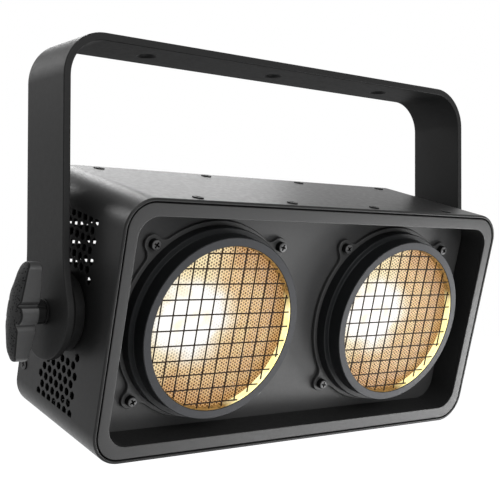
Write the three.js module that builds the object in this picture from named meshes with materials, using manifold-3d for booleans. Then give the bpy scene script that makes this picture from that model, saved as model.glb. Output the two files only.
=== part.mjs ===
// Two-lamp audience blinder light in its yoke. Millimetres, +Z up, +X to the right seen from
// the front, +Y to the back. The origin is the middle of the top face of the yoke's crossbar,
// where the hanging clamp bolts on. The housing is drawn level and then tilted as a whole.
import * as THREE from 'three';
import { mergeGeometries, mergeVertices } from 'three/addons/utils/BufferGeometryUtils.js';
import Module from 'manifold-3d';

const wasm = await Module();
wasm.setup();

// Gaps and helpers shared by all parts
const fitGap = 0.3;
const runningGap = 0.4;
const overrun = 5;
const weldTolerance = 0.0001;
const quarterTurn = Math.PI / 2;
const degree = Math.PI / 180;

// Housing, sized round its two lamps
const lampSideMargin = 23.35;
const lampTopMargin = 19.5;
const lampGap = 35.3;
const housingDepth = 127;
const housingCorner = 24.5;
const sheet = 1.5;
const restTilt = 15;
const pivotBelowMiddle = 1;

// Front rim, bezel and recess
const rimWidth = 2.6;
const rimDepth = 8;
const grooveWidth = 0.9;
const bezelSideBand = 8.8;
const bezelTopBand = 9.9;
const bezelThickness = 2.5;
const openingCorner = 17;
const recessDepth = 29;
const recessWall = 2;
const lampPanelThickness = 2;

// Side vents
const ventPitch = 8.5;
const ventHoleAcross = 5.8;
const ventColumns = 7;
const ventClearOfBoss = 3;

// Yoke
const yokeStock = 6;
const yokeBarWidth = 57;
const yokeDrop = 207.5;
const yokeBend = 35;
const sideGap = 12.5;
const tabRadius = 36;
const tabFillet = 120;
const hangHoleRadius = 6.5;
const hangHoleSpacing = 132;

// Pivot and knobs
const studRadius = 5;
const studReach = 22;
const bossRadius = 30;
const pivotNutSize = 30;
const pivotNutThickness = 8;
const frictionThickness = 2.7;
const frictionInset = 1.5;
const chamfer = 1;
const knobWasherRadius = 9.5;
const knobWasherThickness = 1.5;
const knobHubRadius = 9.5;
const knobHubLength = 7.3;
const knobSkirt = 9.1;
const knobCrown = 8.5;
const knobCrownHalfWidth = 14.5;
const knobReach = 38.5;
const knobMiddleRadius = 12;
const knobWingRoot = 13;
const knobWingRootRadius = 9.6;
const knobTipRadius = 6;
const knobBoreDepth = 15;
const knobLean = 12.5;

// Lamp rings
const lampRadius = 66;
const ringWall = 7;
const ringStep = 4.5;
const ringFlange = 3.5;
const ringReach = 26.8;
const stepReach = 13;
const flangeThickness = 3.3;
const faceChamfer = 0.8;
const earRadius = 7.2;
const earOut = 5.8;
const earFillet = 8;
const lensLedge = 3.5;
const lensSetBack = 5.5;
const ledgeThickness = 2.5;

// Wire grid, lens, reflector and light source
const gridPitch = 12;
const wireSize = 1.2;
const wireGap = 0.1;
const hoopSize = 1.8;
const gridSetBack = 1.2;
const lensThickness = 2;
const lensCrown = 1.8;
const reflectorSheet = 1.4;
const reflectorDepth = 42;
const reflectorThroat = 17;
const ledBoardSize = 44;
const ledBoardThickness = 3;
const ledDiscRadius = 14;
const ledDiscHeight = 1.6;

// Heat sinks
const sinkWidth = 90;
const sinkHeight = 90;
const sinkBase = 6;
const sinkFinLength = 30;
const sinkFinThickness = 2.4;
const sinkFins = 9;

// Ring screws
const screwHeadRadius = 4.2;
const screwHeadHeight = 4.8;
const screwShankRadius = 2;
const screwReach = 9;

// Rear panel and its openings
const rearPanelThickness = 1.8;
const rearPanelInset = 0.2;
const rearSlotLength = 34;
const rearSlotWidth = 2.6;
const rearSlotPitch = 15.6;
const rearSlotCount = 6;
const rearSlotFromSide = 40;
const rearSlotAboveMiddle = 14.5;

// Fan behind the rear panel
const fanSize = 60;
const fanDepth = 15;
const fanRim = 1.5;
const fanCorner = 3;
const fanHubRadius = 12;
const fanBlades = 7;
const fanBladeThickness = 1.6;
const fanBladeTwist = 38;
const fanBladeShare = 0.8;
const fanTipGap = 1;
const fanStruts = 3;
const fanStrutWidth = 4;
const fanStrutDepth = 3;
const fanAboveMiddle = 4;
const guardSlots = 12;
const guardSlotWidth = 4;
const guardInnerRadius = 10;

// Driver box
const driverWidth = 76;
const driverHeight = 92;
const driverDepth = 44;
const driverBehindPanel = 4;
const driverCorner = 2;

// Display and buttons
const controlBelowTop = 34.5;
const boardWidth = 132;
const boardHeight = 30;
const boardThickness = 1.6;
const boardBehindPanel = 6;
const displayWidth = 54;
const displayHeight = 20;
const displayAcross = -30;
const displayProud = 0.6;
const buttonRadius = 3.6;
const buttonProud = 2;
const buttonCollar = 1;
const buttonTravel = 1;
const buttonPitch = 14;
const firstButtonAcross = 15;
const buttonNames = ['menu', 'down', 'up', 'enter'];

// Sockets along the bottom of the rear panel
const socketsAboveBottom = 32.5;
const mainsEndMargin = 38.2;
const mainsGap = 12;
const fuseGap = 6;
const dataEndMargin = 48.2;
const dataGap = 22;
const mainsFlangeWidth = 46;
const mainsFlangeHeight = 26;
const mainsFlangeThickness = 2.5;
const mainsFlangeCorner = 2;
const mainsBodyWidth = 28;
const mainsBodyHeight = 20;
const mainsBodyDepth = 24;
const mainsWall = 1.8;
const mainsRecessDepth = 18;
const mainsCornerCut = 4;
const bladeWidth = 2;
const bladeHeight = 4;
const bladeLength = 14;
const bladeSpread = 7;
const bladeLift = 2;
const contactSlotWidth = 2.6;
const contactSlotHeight = 5;
const dataFlangeLip = 1.5;
const dataFlangeHeight = 31;
const dataFlangeCorner = 4;
const dataFlangeThickness = 2;
const dataBarrelRadius = 11.5;
const dataBarrelDepth = 20;
const dataBarrelWall = 1.9;
const dataRecessDepth = 14;
const dataPinRadius = 1.2;
const dataPinLength = 11;
const dataPinCircle = 4.4;
const dataSocketHoleRadius = 1.5;
const latchWidth = 7;
const latchHeight = 4;
const latchProud = 2;
const latchTravel = 1.5;
const latchAboveCentre = 11;
const latchDepth = 7;
const latchWall = 1.2;
const fuseBodyRadius = 7;
const fuseBodyDepth = 22;
const fuseFlangeLip = 2;
const fuseFlangeThickness = 2;
const fuseCapRadius = 6;
const fuseCapProud = 4;
const fuseCapDepth = 8;
const fuseSlotWidth = 1.6;
const fuseSlotDepth = 1.5;

// Safety eye on the rear panel
const eyeFromSide = 103;
const eyeBelowTop = 30.5;
const eyeFootWidth = 34;
const eyeFootHeight = 14;
const eyeStock = 3;
const eyeRadius = 11;
const eyeHoleRadius = 6.5;
const eyeStandOff = 14;

// Facets on round stretches
const fineRound = 28;
const mediumRound = 18;
const smallRound = 12;
const screwRound = 8;
const tinyRound = 6;
const earSteps = 2;
const dishSteps = 2;
const tabSteps = 14;
const tabFilletSteps = 4;
const crownSteps = 3;
const cornerSteps = 3;
const smallCornerSteps = 2;
const cutCornerSteps = 1;
const roundHoleSteps = 6;

// Places worked out from the sizes above
const ringRadius = lampRadius + ringWall;
const stepRadius = ringRadius + ringStep;
const flangeRadius = stepRadius + ringFlange;
const lampAcross = flangeRadius + lampGap / 2;
const halfWidth = lampAcross + flangeRadius + lampSideMargin;
const halfHeight = flangeRadius + lampTopMargin;
const frontFace = -housingDepth / 2;
const rearFace = housingDepth / 2;
const bezelHalfWidth = halfWidth - rimWidth - grooveWidth;
const bezelHalfHeight = halfHeight - rimWidth - grooveWidth;
const openingHalfWidth = bezelHalfWidth - bezelSideBand;
const openingHalfHeight = bezelHalfHeight - bezelTopBand;
const panelFront = frontFace + recessDepth;
const panelBack = panelFront + lampPanelThickness;
const innerHalfWidth = halfWidth - sheet - fitGap;
const innerHalfHeight = halfHeight - sheet - fitGap;
const innerCorner = housingCorner - sheet - fitGap;
const ledgeRadius = lampRadius - lensLedge;
const flangeBack = panelFront - fitGap;
const flangeFront = flangeBack - flangeThickness;
const ringFace = panelFront - ringReach;
const stepFace = panelFront - stepReach;
const ledgeFront = ringFace + lensSetBack + lensThickness + lensCrown;
const earCircle = flangeRadius + earOut;
const earOffset = earCircle * Math.SQRT1_2;
const rearOutside = rearFace - rearPanelInset;
const rearInside = rearOutside - rearPanelThickness;
const yokeInside = halfWidth + sideGap;
const yokeOutside = yokeInside + yokeStock;
const ventRowStep = ventPitch * Math.sqrt(3) / 2;
const ventRows = Math.floor(2 * (halfHeight - housingCorner) / ventRowStep) + 1;
const fanBoreRadius = fanSize / 2 - fanRim;
const controlAboveMiddle = halfHeight - controlBelowTop;
const eyeAcross = eyeFromSide - halfWidth;
const eyeAboveMiddle = halfHeight - eyeBelowTop;
const socketsBelowMiddle = halfHeight - socketsAboveBottom;
const dataFlangeWidth = 2 * (dataBarrelRadius + dataFlangeLip);
const fuseFlangeRadius = fuseBodyRadius + fuseFlangeLip;
const mainsInAcross = innerHalfWidth - mainsEndMargin - mainsFlangeWidth / 2;
const mainsOutAcross = mainsInAcross - mainsFlangeWidth - mainsGap;
const fuseAcross = mainsOutAcross - mainsFlangeWidth / 2 - fuseGap - fuseFlangeRadius;
const dataOutAcross = dataEndMargin + dataFlangeWidth / 2 - innerHalfWidth;
const dataInAcross = dataOutAcross + dataFlangeWidth + dataGap;

// Makes a solid for cutting and joining from a closed three.js geometry
function solidOf(geometry) {
  const bare = geometry.clone();
  bare.deleteAttribute('normal');
  bare.deleteAttribute('uv');
  const welded = mergeVertices(bare, weldTolerance);
  const points = Float32Array.from(welded.attributes.position.array);
  const corners = [];
  for (let start = 0; start < welded.index.count; start += 3) {
    const [a, b, c] = [0, 1, 2].map((step) => welded.index.getX(start + step));
    if (a !== b && b !== c && c !== a) corners.push(a, b, c);
  }
  if (signedVolume(points, corners) < 0) corners.reverse();
  const triVerts = Uint32Array.from(corners);
  return new wasm.Manifold(new wasm.Mesh({ numProp: 3, vertProperties: points, triVerts }));
}

function signedVolume(points, corners) {
  let total = 0;
  const pick = (corner) => new THREE.Vector3().fromArray(points, corner * 3);
  for (let start = 0; start < corners.length; start += 3) {
    const [a, b, c] = corners.slice(start, start + 3).map(pick);
    total += a.dot(b.cross(c));
  }
  return total;
}

function geometryOf(solid) {
  const { vertProperties, triVerts } = solid.getMesh();
  const geometry = new THREE.BufferGeometry();
  geometry.setAttribute('position', new THREE.BufferAttribute(vertProperties, 3));
  geometry.setIndex(new THREE.BufferAttribute(triVerts, 1));
  geometry.computeVertexNormals();
  return geometry;
}

function joined(solids) {
  return solids.reduce((sum, solid) => sum.add(solid));
}

// A shape drawn in x and z, thick along y between two planes
function slab(shape, from, to, curveSegments = cornerSteps) {
  const geometry = new THREE.ExtrudeGeometry(shape, {
    depth: to - from, bevelEnabled: false, curveSegments,
  });
  geometry.rotateX(quarterTurn);
  geometry.translate(0, to, 0);
  return geometry;
}

// A shape drawn in y and z, thick along x between two planes
function sideSlab(shape, from, to, curveSegments = cornerSteps) {
  const geometry = new THREE.ExtrudeGeometry(shape, {
    depth: to - from, bevelEnabled: false, curveSegments,
  });
  const turn = new THREE.Matrix4().makeBasis(
    new THREE.Vector3(0, 1, 0), new THREE.Vector3(0, 0, 1), new THREE.Vector3(1, 0, 0),
  );
  geometry.applyMatrix4(turn);
  geometry.translate(from, 0, 0);
  return geometry;
}

// A closed profile of [radius, y] points turned about the y axis, in either order
function turned(profile, segments) {
  const points = profile.map(([radius, y]) => new THREE.Vector2(radius, y));
  if (THREE.ShapeUtils.isClockWise(points)) points.reverse();
  points.push(points[0].clone());
  return new THREE.LatheGeometry(points, segments);
}

// A plain round bar along y
function bar(radius, from, to, segments) {
  const geometry = new THREE.CylinderGeometry(radius, radius, to - from, segments);
  geometry.translate(0, (from + to) / 2, 0);
  return geometry;
}

function block(width, depth, height) {
  return new THREE.BoxGeometry(width, depth, height);
}

function at(geometry, x, y, z) {
  geometry.translate(x, y, z);
  return geometry;
}

function roundedRectangle(halfX, halfY, corner) {
  const shape = new THREE.Shape();
  const cornersAt = [[1, 1], [-1, 1], [-1, -1], [1, -1]];
  cornersAt.forEach(([signX, signY], turn) => {
    const from = turn * quarterTurn;
    const centreX = signX * (halfX - corner);
    const centreY = signY * (halfY - corner);
    shape.absarc(centreX, centreY, corner, from, from + quarterTurn, false);
  });
  shape.closePath();
  return shape;
}

function rectangle(halfX, halfY) {
  const shape = new THREE.Shape();
  shape.moveTo(-halfX, -halfY);
  shape.lineTo(halfX, -halfY);
  shape.lineTo(halfX, halfY);
  shape.lineTo(-halfX, halfY);
  shape.closePath();
  return shape;
}

function circle(x, y, radius) {
  const shape = new THREE.Shape();
  shape.absarc(x, y, radius, 0, 4 * quarterTurn, false);
  return shape;
}

// Adds a round stretch to an outline in straight steps
function addArc(shape, x, y, radius, from, to, steps) {
  for (let step = 0; step <= steps; step += 1) {
    const angle = from + (to - from) * step / steps;
    shape.lineTo(x + radius * Math.cos(angle), y + radius * Math.sin(angle));
  }
}

// Yoke: a flat bar bent to a U, its ends widened to round tabs about the pivot
function yokeFrontOutline() {
  const top = yokeDrop;
  const outerX = yokeOutside - yokeBend;
  const centreZ = top - yokeBend;
  const inner = yokeBend - yokeStock;
  const foot = -tabRadius - overrun;
  const shape = new THREE.Shape();
  shape.moveTo(yokeOutside, foot);
  shape.lineTo(yokeOutside, centreZ);
  shape.absarc(outerX, centreZ, yokeBend, 0, quarterTurn, false);
  shape.absarc(-outerX, centreZ, yokeBend, quarterTurn, 2 * quarterTurn, false);
  shape.lineTo(-yokeOutside, foot);
  shape.lineTo(-yokeInside, foot);
  shape.lineTo(-yokeInside, centreZ);
  shape.absarc(-outerX, centreZ, inner, 2 * quarterTurn, quarterTurn, true);
  shape.absarc(outerX, centreZ, inner, quarterTurn, 0, true);
  shape.lineTo(yokeInside, foot);
  shape.closePath();
  return shape;
}

function yokeSideOutline() {
  const halfBar = yokeBarWidth / 2;
  const filletY = halfBar + tabFillet;
  const filletZ = Math.sqrt((tabRadius + tabFillet) ** 2 - filletY ** 2);
  const meet = Math.atan2(filletZ, filletY);
  const shape = new THREE.Shape();
  shape.moveTo(halfBar, yokeDrop + overrun);
  shape.lineTo(-halfBar, yokeDrop + overrun);
  shape.lineTo(-halfBar, filletZ);
  addArc(shape, -filletY, filletZ, tabFillet, 0, -meet, tabFilletSteps);
  addArc(shape, 0, 0, tabRadius, Math.PI - meet, 2 * Math.PI + meet, tabSteps);
  addArc(shape, filletY, filletZ, tabFillet, Math.PI + meet, Math.PI, tabFilletSteps);
  shape.closePath();
  return shape;
}

function yokeBracket() {
  const front = solidOf(slab(yokeFrontOutline(), -tabRadius - overrun, tabRadius + overrun));
  const reach = yokeOutside + overrun;
  const side = solidOf(sideSlab(yokeSideOutline(), -reach, reach, roundHoleSteps));
  const pivotHole = alongX(bar(studRadius + runningGap, -reach, reach, smallRound));
  const cuts = [solidOf(pivotHole)];
  for (const step of [-1, 0, 1]) {
    const hole = alongZ(bar(hangHoleRadius, yokeDrop - yokeStock - overrun, yokeDrop + overrun,
      smallRound));
    cuts.push(solidOf(at(hole, step * hangHoleSpacing, 0, 0)));
  }
  return cuts.reduce((body, cut) => body.subtract(cut), front.intersect(side));
}

// Turns a shape made along y to lie along x, or along z
function alongX(geometry) {
  geometry.rotateZ(-quarterTurn);
  return geometry;
}

function alongZ(geometry) {
  geometry.rotateX(quarterTurn);
  return geometry;
}

// Pivot pieces, drawn along +x from the housing side outwards
function pivotBoss() {
  const from = halfWidth + fitGap;
  const to = yokeInside - frictionThickness - 2 * fitGap;
  const bore = studRadius + runningGap;
  return alongX(turned([
    [bore, from], [bossRadius, from], [bossRadius, to], [bore, to],
  ], mediumRound));
}

// The plate inside the housing wall that the stud screws into
function pivotNut() {
  const to = halfWidth - sheet - fitGap;
  const from = to - pivotNutThickness;
  const plate = at(block(pivotNutThickness, pivotNutSize, pivotNutSize), (from + to) / 2, 0, 0);
  const bore = alongX(bar(studRadius + fitGap, from - overrun, to + overrun, smallRound));
  return geometryOf(solidOf(plate).subtract(solidOf(bore)));
}

function frictionWasher() {
  const to = yokeInside - fitGap;
  const from = to - frictionThickness;
  const bore = studRadius + runningGap;
  const rim = bossRadius - frictionInset;
  return alongX(turned([[bore, from], [rim, from], [rim, to], [bore, to]], smallRound));
}

function knobWasher() {
  const from = yokeOutside + fitGap;
  const to = from + knobWasherThickness;
  const bore = studRadius + runningGap;
  return alongX(turned([
    [bore, from], [knobWasherRadius, from], [knobWasherRadius, to], [bore, to],
  ], smallRound));
}

const hubStart = yokeOutside + knobWasherThickness + 2 * fitGap;
const wingStart = hubStart + knobHubLength;
const crownStart = wingStart + knobSkirt;
const knobTop = crownStart + knobCrown;

// Outline of one wing of the hand grip in y and z: a wide round root and a smaller round tip
function wingOutline() {
  const tipCentre = knobReach - knobTipRadius;
  const taper = Math.asin((knobWingRootRadius - knobTipRadius) / (tipCentre - knobWingRoot));
  const shape = new THREE.Shape();
  shape.absarc(0, tipCentre, knobTipRadius, taper, Math.PI - taper, false);
  shape.absarc(0, knobWingRoot, knobWingRootRadius, Math.PI - taper, 2 * Math.PI + taper, false);
  shape.closePath();
  return shape;
}

// A crowned block as long as the grip, whose outer side is half of a flattened ball
function gripCrown() {
  const reach = knobReach + fitGap;
  const profile = [[0, hubStart - overrun], [reach, hubStart - overrun]];
  for (let step = crownSteps; step >= 0; step -= 1) {
    const angle = quarterTurn * step / crownSteps;
    profile.push([reach * Math.sin(angle), crownStart + knobCrown * Math.cos(angle)]);
  }
  const crown = alongX(turned(profile, mediumRound));
  return crown.scale(1, knobCrownHalfWidth / reach, 1);
}

function knob() {
  const end = knobTop + overrun;
  const middle = solidOf(alongX(bar(knobMiddleRadius, wingStart, end, mediumRound)));
  const wing = sideSlab(wingOutline(), wingStart, end);
  const wings = [wing, wing.clone().rotateX(2 * quarterTurn)].map(solidOf);
  const grip = joined([middle, ...wings]).intersect(solidOf(gripCrown()));
  const hub = solidOf(alongX(bar(knobHubRadius, hubStart, wingStart + chamfer, mediumRound)));
  const boreEnd = hubStart + knobBoreDepth;
  const bore = alongX(bar(studRadius + runningGap, hubStart - overrun, boreEnd, smallRound));
  return geometryOf(grip.add(hub).subtract(solidOf(bore)));
}

function knobStud() {
  const end = hubStart + knobBoreDepth - fitGap;
  const start = yokeInside - studReach;
  return alongX(bar(studRadius, start, end, smallRound));
}

// Housing shell: a rounded box of sheet, open behind, with a folded rim in front
function ventPlaces() {
  const places = [];
  const keepOut = bossRadius + ventHoleAcross / 2 + ventClearOfBoss;
  for (let row = 0; row < ventRows; row += 1) {
    const z = (row - (ventRows - 1) / 2) * ventRowStep;
    const inRow = ventColumns - row % 2;
    for (let column = 0; column < inRow; column += 1) {
      const y = (column - (inRow - 1) / 2) * ventPitch;
      if (Math.hypot(y, z + pivotBelowMiddle) > keepOut) places.push([y, z]);
    }
  }
  return places;
}

function housingShell() {
  const outer = slab(roundedRectangle(halfWidth, halfHeight, housingCorner), frontFace, rearFace);
  const rimInside = roundedRectangle(halfWidth - rimWidth, halfHeight - rimWidth,
    housingCorner - rimWidth);
  const wallInside = roundedRectangle(halfWidth - sheet, halfHeight - sheet,
    housingCorner - sheet);
  const through = slab(rimInside, frontFace - overrun, rearFace + overrun);
  const hollow = slab(wallInside, frontFace + rimDepth, rearFace + overrun);
  const hexRadius = ventHoleAcross / Math.sqrt(3);
  const reach = halfWidth + overrun;
  const holes = ventPlaces().map(([y, z]) => {
    const hexagon = alongX(bar(hexRadius, -reach, reach, tinyRound));
    return at(hexagon, 0, y, z);
  });
  const pivotHole = alongX(bar(studRadius + 2 * runningGap, -reach, reach, smallRound));
  at(pivotHole, 0, 0, -pivotBelowMiddle);
  return geometryOf(solidOf(outer)
    .subtract(solidOf(through))
    .subtract(solidOf(hollow))
    .subtract(solidOf(mergeGeometries(holes)))
    .subtract(solidOf(pivotHole)));
}

function frontBezel() {
  const outline = roundedRectangle(bezelHalfWidth, bezelHalfHeight,
    housingCorner - rimWidth - grooveWidth);
  outline.holes.push(roundedRectangle(openingHalfWidth, openingHalfHeight, openingCorner));
  return slab(outline, frontFace, frontFace + bezelThickness);
}

function recessFrame() {
  const outline = roundedRectangle(openingHalfWidth + recessWall, openingHalfHeight + recessWall,
    openingCorner + recessWall);
  outline.holes.push(roundedRectangle(openingHalfWidth, openingHalfHeight, openingCorner));
  return slab(outline, frontFace + bezelThickness + fitGap, panelFront - fitGap);
}

function lampPanel() {
  const outline = roundedRectangle(innerHalfWidth, innerHalfHeight, innerCorner);
  const plate = solidOf(slab(outline, panelFront, panelBack));
  const cuts = [];
  for (const side of [-1, 1]) {
    const hole = bar(lampRadius, panelFront - overrun, panelBack + overrun, fineRound);
    cuts.push(solidOf(at(hole, side * lampAcross, 0, 0)));
    for (const [x, z] of earPlaces()) {
      const screwHole = bar(screwShankRadius + fitGap, panelFront - overrun, panelBack + overrun,
        tinyRound);
      cuts.push(solidOf(at(screwHole, side * lampAcross + x, 0, z)));
    }
  }
  return geometryOf(cuts.reduce((body, cut) => body.subtract(cut), plate));
}

// Lamp ring: flange with four screw ears, a step, and a barrel round the lens
function earPlaces() {
  return [[-1, 1], [1, 1], [-1, -1], [1, -1]].map(([x, z]) => [x * earOffset, z * earOffset]);
}

function flangeOutline() {
  const filletCircle = flangeRadius + earFillet;
  const filletToEar = earRadius + earFillet;
  const spread = Math.acos((filletCircle ** 2 + earCircle ** 2 - filletToEar ** 2)
    / (2 * filletCircle * earCircle));
  const acrossEar = Math.acos((filletToEar ** 2 + earCircle ** 2 - filletCircle ** 2)
    / (2 * filletToEar * earCircle));
  const shape = new THREE.Shape();
  for (let ear = 0; ear < 4; ear += 1) {
    const aim = quarterTurn * ear + quarterTurn / 2;
    const before = aim - spread;
    const after = aim + spread;
    const earTurn = Math.PI - acrossEar;
    shape.absarc(0, 0, flangeRadius, aim - quarterTurn + spread, before, false);
    shape.absarc(filletCircle * Math.cos(before), filletCircle * Math.sin(before), earFillet,
      before + Math.PI, aim - earTurn + Math.PI, true);
    shape.absarc(earCircle * Math.cos(aim), earCircle * Math.sin(aim), earRadius,
      aim - earTurn, aim + earTurn, false);
    shape.absarc(filletCircle * Math.cos(after), filletCircle * Math.sin(after), earFillet,
      aim + earTurn + Math.PI, after + Math.PI, true);
  }
  shape.closePath();
  return shape;
}

function lampRing() {
  const body = solidOf(turned([
    [ledgeRadius, ledgeFront], [lampRadius, ledgeFront], [lampRadius, ringFace],
    [ringRadius - faceChamfer, ringFace], [ringRadius, ringFace + faceChamfer],
    [ringRadius, stepFace], [stepRadius, stepFace], [stepRadius, flangeBack],
    [lampRadius, flangeBack], [lampRadius, ledgeFront + ledgeThickness],
    [ledgeRadius, ledgeFront + ledgeThickness],
  ], fineRound));
  const flange = solidOf(slab(flangeOutline(), flangeFront, flangeBack, earSteps));
  const bore = solidOf(bar(ringRadius, flangeFront - overrun, flangeBack + overrun, fineRound));
  const screwHoles = earPlaces().map(([x, z]) => {
    const hole = bar(screwShankRadius + fitGap, flangeFront - overrun, flangeBack + overrun,
      tinyRound);
    return solidOf(at(hole, x, 0, z));
  });
  const eared = flange.subtract(bore).add(body);
  return geometryOf(screwHoles.reduce((ring, hole) => ring.subtract(hole), eared));
}

// Wire grid: level wires in front of upright ones, each end sunk in a hoop that fits the bore
function wireGrid() {
  const rim = lampRadius - 2 * fitGap;
  const front = ringFace + gridSetBack;
  const back = front + 2 * wireSize + wireGap;
  const hoop = turned([
    [rim - hoopSize, front], [rim, front], [rim, back], [rim - hoopSize, back],
  ], fineRound);
  const reach = rim - hoopSize / 2;
  const count = Math.floor((reach - hoopSize) / gridPitch);
  const wires = [];
  for (let step = -count; step <= count; step += 1) {
    const place = step * gridPitch;
    const half = Math.sqrt(reach ** 2 - place ** 2);
    const level = block(2 * half, wireSize, wireSize);
    const upright = block(wireSize, wireSize, 2 * half);
    wires.push(solidOf(at(level, 0, front + wireSize / 2, place)));
    wires.push(solidOf(at(upright, place, back - wireSize / 2, 0)));
  }
  return geometryOf(joined([solidOf(hoop), ...wires]));
}

// Lens: a round pane with a crowned front
function lens() {
  const rim = lampRadius - 2 * fitGap;
  const back = ledgeFront - fitGap;
  const edge = back - lensThickness;
  const profile = [[0, back], [rim, back]];
  for (let step = dishSteps; step >= 0; step -= 1) {
    const radius = rim * step / dishSteps;
    profile.push([radius, edge - lensCrown * (1 - (radius / rim) ** 2)]);
  }
  return turned(profile, mediumRound);
}

const reflectorMouth = ledgeFront + ledgeThickness + fitGap;
const reflectorRim = lampRadius - reflectorSheet;
const reflectorBack = reflectorMouth + reflectorDepth;

// Reflector: a parabolic dish of thin metal, open at the throat for the light source
function reflector() {
  const profile = [];
  const radiusAt = (share) => Math.sqrt(reflectorThroat ** 2
    + (reflectorRim ** 2 - reflectorThroat ** 2) * share);
  for (let step = 0; step <= dishSteps; step += 1) {
    const share = (step / dishSteps) ** 2;
    profile.push([radiusAt(share), reflectorBack - reflectorDepth * share]);
  }
  for (let step = dishSteps; step >= 0; step -= 1) {
    const share = (step / dishSteps) ** 2;
    const outside = radiusAt(share) + reflectorSheet - fitGap;
    profile.push([outside, reflectorBack - reflectorDepth * share]);
  }
  return turned(profile, smallRound);
}

const ledBoardFront = reflectorBack + fitGap;
const sinkFront = ledBoardFront + ledBoardThickness + fitGap;

function ledModule() {
  const board = block(ledBoardSize, ledBoardThickness, ledBoardSize);
  at(board, 0, ledBoardFront + ledBoardThickness / 2, 0);
  const discBack = ledBoardFront + chamfer;
  const disc = bar(ledDiscRadius, ledBoardFront - ledDiscHeight, discBack, smallRound);
  return geometryOf(solidOf(board).add(solidOf(disc)));
}

// Heat sink: a base plate with upright fins, drawn as its comb section in x and y
function heatSink() {
  const half = sinkWidth / 2;
  const fin = sinkFinThickness;
  const step = (sinkWidth - fin) / (sinkFins - 1);
  const shape = new THREE.Shape();
  shape.moveTo(-half, 0);
  shape.lineTo(-half, -sinkBase - sinkFinLength);
  for (let index = 0; index < sinkFins; index += 1) {
    const left = -half + index * step;
    if (index > 0) {
      shape.lineTo(left, -sinkBase);
      shape.lineTo(left, -sinkBase - sinkFinLength);
    }
    shape.lineTo(left + fin, -sinkBase - sinkFinLength);
    if (index < sinkFins - 1) shape.lineTo(left + fin, -sinkBase);
  }
  shape.lineTo(half, 0);
  shape.closePath();
  const geometry = slab(shape, -sinkHeight / 2, sinkHeight / 2);
  geometry.rotateX(-quarterTurn);
  geometry.rotateZ(2 * quarterTurn);
  geometry.computeBoundingBox();
  return at(geometry, 0, sinkFront - geometry.boundingBox.min.y, 0);
}

// Pan-head screw whose head bears on the ear and whose shank goes through the panel
function ringScrew() {
  const under = flangeFront - fitGap;
  const top = under - screwHeadHeight;
  return turned([
    [0, top], [screwHeadRadius - chamfer, top], [screwHeadRadius, under],
    [screwShankRadius, under], [screwShankRadius, under + screwReach], [0, under + screwReach],
  ], screwRound);
}

// Rear panel with its vents, fan guard, display window, buttons and socket openings
function rearCut(shape, x, z, curveSegments = cornerSteps) {
  const cut = slab(shape, rearInside - overrun, rearOutside + overrun, curveSegments);
  return at(cut, x, 0, z);
}

function buttonPlaces() {
  return buttonNames.map((name, index) => [name, firstButtonAcross + index * buttonPitch]);
}

function rearPanel() {
  const outline = roundedRectangle(innerHalfWidth, innerHalfHeight, innerCorner);
  const cuts = [];
  const slotX = halfWidth - rearSlotFromSide;
  for (let index = 0; index < rearSlotCount; index += 1) {
    const z = rearSlotAboveMiddle + (index - (rearSlotCount - 1) / 2) * rearSlotPitch;
    for (const side of [-1, 1]) {
      cuts.push(rearCut(rectangle(rearSlotLength / 2, rearSlotWidth / 2), side * slotX, z));
    }
  }
  const guardLength = fanBoreRadius - guardInnerRadius;
  for (let index = 0; index < guardSlots; index += 1) {
    const slot = rearCut(rectangle(guardLength / 2, guardSlotWidth / 2),
      guardInnerRadius + guardLength / 2, 0);
    slot.rotateY(index * 4 * quarterTurn / guardSlots);
    cuts.push(at(slot, 0, 0, fanAboveMiddle));
  }
  const window = rectangle(displayWidth / 2 + fitGap, displayHeight / 2 + fitGap);
  cuts.push(rearCut(window, displayAcross, controlAboveMiddle));
  for (const [, x] of buttonPlaces()) {
    const buttonHole = circle(0, 0, buttonRadius + runningGap);
    cuts.push(rearCut(buttonHole, x, controlAboveMiddle, screwRound / 2));
  }
  const mainsHole = rectangle(mainsBodyWidth / 2 + fitGap, mainsBodyHeight / 2 + fitGap);
  cuts.push(rearCut(mainsHole, mainsInAcross, -socketsBelowMiddle));
  cuts.push(rearCut(mainsHole, mainsOutAcross, -socketsBelowMiddle));
  const dataHole = circle(0, 0, dataBarrelRadius + 2 * fitGap);
  cuts.push(rearCut(dataHole, dataInAcross, -socketsBelowMiddle, roundHoleSteps));
  cuts.push(rearCut(dataHole, dataOutAcross, -socketsBelowMiddle, roundHoleSteps));
  cuts.push(rearCut(latchHousingShape(fitGap), dataOutAcross,
    latchAboveCentre - socketsBelowMiddle));
  const fuseHole = circle(0, 0, fuseBodyRadius + 2 * fitGap);
  cuts.push(rearCut(fuseHole, fuseAcross, -socketsBelowMiddle, roundHoleSteps));
  const plate = solidOf(slab(outline, rearInside, rearOutside));
  return geometryOf(cuts.reduce((body, cut) => body.subtract(solidOf(cut)), plate));
}

// Fan: a square frame whose struts carry the motor, and a bladed rotor inside it
const fanBack = rearInside - fitGap;
const fanFront = fanBack - fanDepth;

function fanFrame() {
  const outline = roundedRectangle(fanSize / 2, fanSize / 2, fanCorner);
  const ring = solidOf(slab(outline, fanFront, fanBack, smallCornerSteps))
    .subtract(solidOf(bar(fanBoreRadius, fanFront - overrun, fanBack + overrun, smallRound)));
  const struts = Array.from({ length: fanStruts }, (_, index) => {
    const length = fanBoreRadius + chamfer;
    const strut = at(block(length, fanStrutDepth, fanStrutWidth), length / 2,
      fanFront + fanStrutDepth / 2, 0);
    strut.rotateY(index * 4 * quarterTurn / fanStruts);
    return solidOf(strut);
  });
  const seat = solidOf(bar(fanHubRadius, fanFront, fanFront + fanStrutDepth, smallRound));
  return geometryOf(joined([ring, seat, ...struts]));
}

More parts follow.
